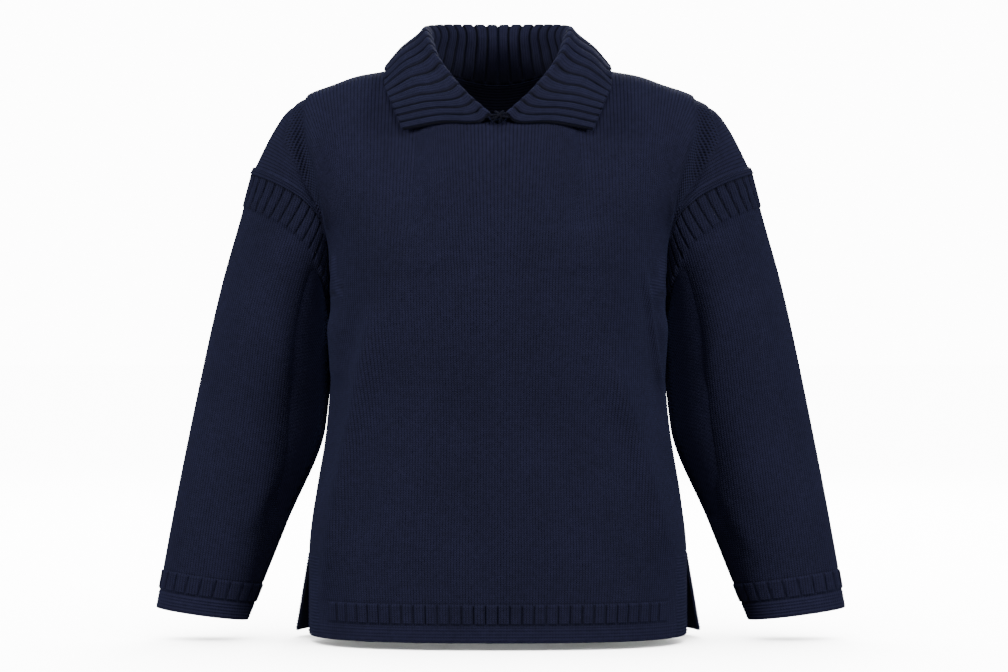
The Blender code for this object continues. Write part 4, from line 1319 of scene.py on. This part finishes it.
def knitted_cotton(name, colour, shade):
    """Combed cotton in a heavy knit, garment washed: matte, a little fuzzy, with painted shade in its grooves
    and hollows.
    """
    material, shader = surfaced(name, COTTON | {"Sheen Tint": linear(FUZZ_COLOUR)})
    tree = material.node_tree
    add = functools.partial(node, tree)
    marks = ("purl", "moss", "groove")
    purl, moss, groove = (add("Attribute", attribute_name=mark, output="Fac") for mark in marks)
    knit = add("UVMap", uv_map="knit")
    across, up = (add("SeparateXYZ", knit, output=axis) for axis in (0, 1))
    wale = add("Math", across, WALE, operation="DIVIDE")
    course = add("Math", up, COURSE, operation="DIVIDE")
    # Each stitch is a V, one wale wide and one course high
    leg = add("Math", wale, operation="FRACT")
    leg = add("Math", leg, 0.5, operation="SUBTRACT")
    leg = add("Math", leg, operation="ABSOLUTE")
    leg = add("Math", leg, 2.0, operation="MULTIPLY")
    yarn = add("Math", leg, STITCH_SLANT, course, operation="MULTIPLY_ADD")
    yarn = add("Math", yarn, 2 * math.pi, operation="MULTIPLY")
    yarn = add("Math", yarn, operation="SINE")
    gap = add("Math", leg, GAP_SHARP, operation="POWER")
    gap = add("Math", gap, -GAP_DEPTH, operation="MULTIPLY")
    plain = add("Math", yarn, YARN_ROUND, gap, operation="MULTIPLY_ADD")
    # Purl ridges, wavy with the wales
    wave = add("Math", wale, 2 * math.pi, operation="MULTIPLY")
    wave = add("Math", wave, operation="SINE")
    ridge = add("Math", up, PURL_PITCH, operation="DIVIDE")
    ridge = add("Math", wave, RIDGE_WAVE, ridge, operation="MULTIPLY_ADD")
    ridge = add("Math", ridge, 2 * math.pi, operation="MULTIPLY")
    ridge = add("Math", ridge, operation="COSINE")
    ridge = add("Math", ridge, RIDGE_HEIGHT, operation="MULTIPLY")
    # Moss stitch: bumps two wales and two courses apart, in a chequer
    bumps = MOSS_BUMP
    for count in (wale, course):
        turn = add("Math", count, math.pi, operation="MULTIPLY")
        bumps = add("Math", add("Math", turn, operation="SINE"), bumps, operation="MULTIPLY")
    height = add("Mix", purl, sockets={2: plain, 3: ridge})
    height = add("Mix", moss, sockets={2: height, 3: bumps})
    place = add("TexCoord", output="Object")
    fuzz, uneven, washed = (
        add("TexNoise", sockets={"Vector": place, "Scale": 1 / size, "Detail": detail})
        for size, detail in NOISES
    )
    height = add("Math", fuzz, FUZZ_HEIGHT, height, operation="MULTIPLY_ADD")
    height = add("Math", uneven, UNEVEN_HEIGHT, height, operation="MULTIPLY_ADD")
    bump = add("Bump", sockets=BUMP | {"Height": height})
    # Painted shade: darker towards the shade colour where the groove mark is and where the relief is low
    painted_shade = add("Math", groove, GROOVE_SHADE, operation="MULTIPLY")
    low = add("Math", height, -HOLLOW_SHADE, HOLLOW_SHADE_FROM * HOLLOW_SHADE, operation="MULTIPLY_ADD", use_clamp=True)
    painted_shade = add("Math", painted_shade, low, operation="MAXIMUM")
    # The tint is half way between the two colours where both noises are at their middle
    middle = (1 - WASHED_TINT - UNEVEN_TINT) / 2
    worn = add("Math", washed, WASHED_TINT, middle, operation="MULTIPLY_ADD")
    worn = add("Math", uneven, UNEVEN_TINT, worn, operation="MULTIPLY_ADD", use_clamp=True)
    base = add("Mix", worn, sockets={6: linear(shade), 7: linear(colour)}, output=2, data_type="RGBA")
    base = add("Mix", painted_shade, sockets={6: base, 7: linear(SHADE_COLOUR)}, output=2, data_type="RGBA")
    tree.links.new(base, shader.inputs["Base Color"])
    tree.links.new(bump, shader.inputs["Normal"])
    return material


# The stage

def plain_floor():
    """A pale floor just under the hem, and the lamp that lights it alone, as a studio's ground is lit."""
    bpy.ops.mesh.primitive_plane_add(size=FLOOR_SIZE, location=(0, 0, HEM - FLOOR_BELOW))
    floor = bpy.context.object
    floor.name = "floor"
    floor.select_set(False)
    material, _ = surfaced("pale_floor", FLOOR | {"Base Color": linear(FLOOR_COLOUR)})
    floor.data.materials.append(material)
    floor.visible_diffuse = False
    floor.visible_glossy = False
    ground = bpy.data.collections.new("ground")
    ground.objects.link(floor)
    lamp = bpy.data.lights.new("ground_light", "SUN")
    lamp.energy = GROUND_LIGHT
    lamp.angle = GROUND_SOFT
    placed("ground_light", lamp, turn=(-GROUND_TILT, 0, 0)).light_linking.receiver_collection = ground


def white_surround():
    """White all round, brighter behind the garment than the light it throws on it."""
    world = bpy.data.worlds.new("white_surround")
    bpy.context.scene.world = world
    world.use_nodes = True
    tree = world.node_tree
    seen = node(tree, "LightPath", output="Is Camera Ray")
    strength = node(tree, "Mix", seen, sockets={2: SURROUND_LIGHT, 3: SURROUND_SEEN})
    background = tree.nodes["Background"]
    background.inputs["Color"].default_value = (1, 1, 1, 1)
    tree.links.new(strength, background.inputs["Strength"])


def soft_light(name, place, aim, size, power):
    """A large soft lamp that points from its place to its aim."""
    lamp = bpy.data.lights.new(name, "AREA")
    lamp.size = size
    lamp.energy = power
    way = np.array(aim) - np.array(place)
    flat = math.hypot(way[0], way[1])
    placed(name, lamp, place, (math.atan2(flat, -way[2]), 0, math.atan2(-way[0], way[1])))


def studio():
    """Soft lamps in front, above and at both sides, and the camera."""
    for lamp in LAMPS:
        soft_light(*lamp)
    camera = bpy.data.cameras.new("camera")
    camera.sensor_width = SENSOR
    camera.lens = SENSOR * CAMERA_AWAY / (IMAGE_WIDTH * PIXEL)
    place = (CAMERA_ACROSS, -CAMERA_AWAY, CAMERA_HEIGHT)
    bpy.context.scene.camera = placed("camera", camera, place, (math.radians(90), 0, 0))


# Put together

panels = {panel: panel_sheet(panel) for panel in ("front", "back")}
navy = knitted_cotton("knitted_cotton", "#262745", "#1c1d36")
rib_navy = knitted_cotton("rib_knitted_cotton", "#272846", "#1e1f38")
pieces = {panel: panel_piece(panel, panels[panel], navy) for panel in ("front", "back")}
for name, side in (("sleeve_left", -1), ("sleeve_right", 1)):
    pieces[name] = sleeve_piece(name, side, sleeve_sheet(panels, side), navy)
pieces["collar"] = collar_piece(panels, rib_navy)
knot = neck_knot(rib_navy)
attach(knot, "root")
for name, piece in pieces.items():
    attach(piece, "root")
    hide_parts(name)
plain_floor()
white_surround()
studio()
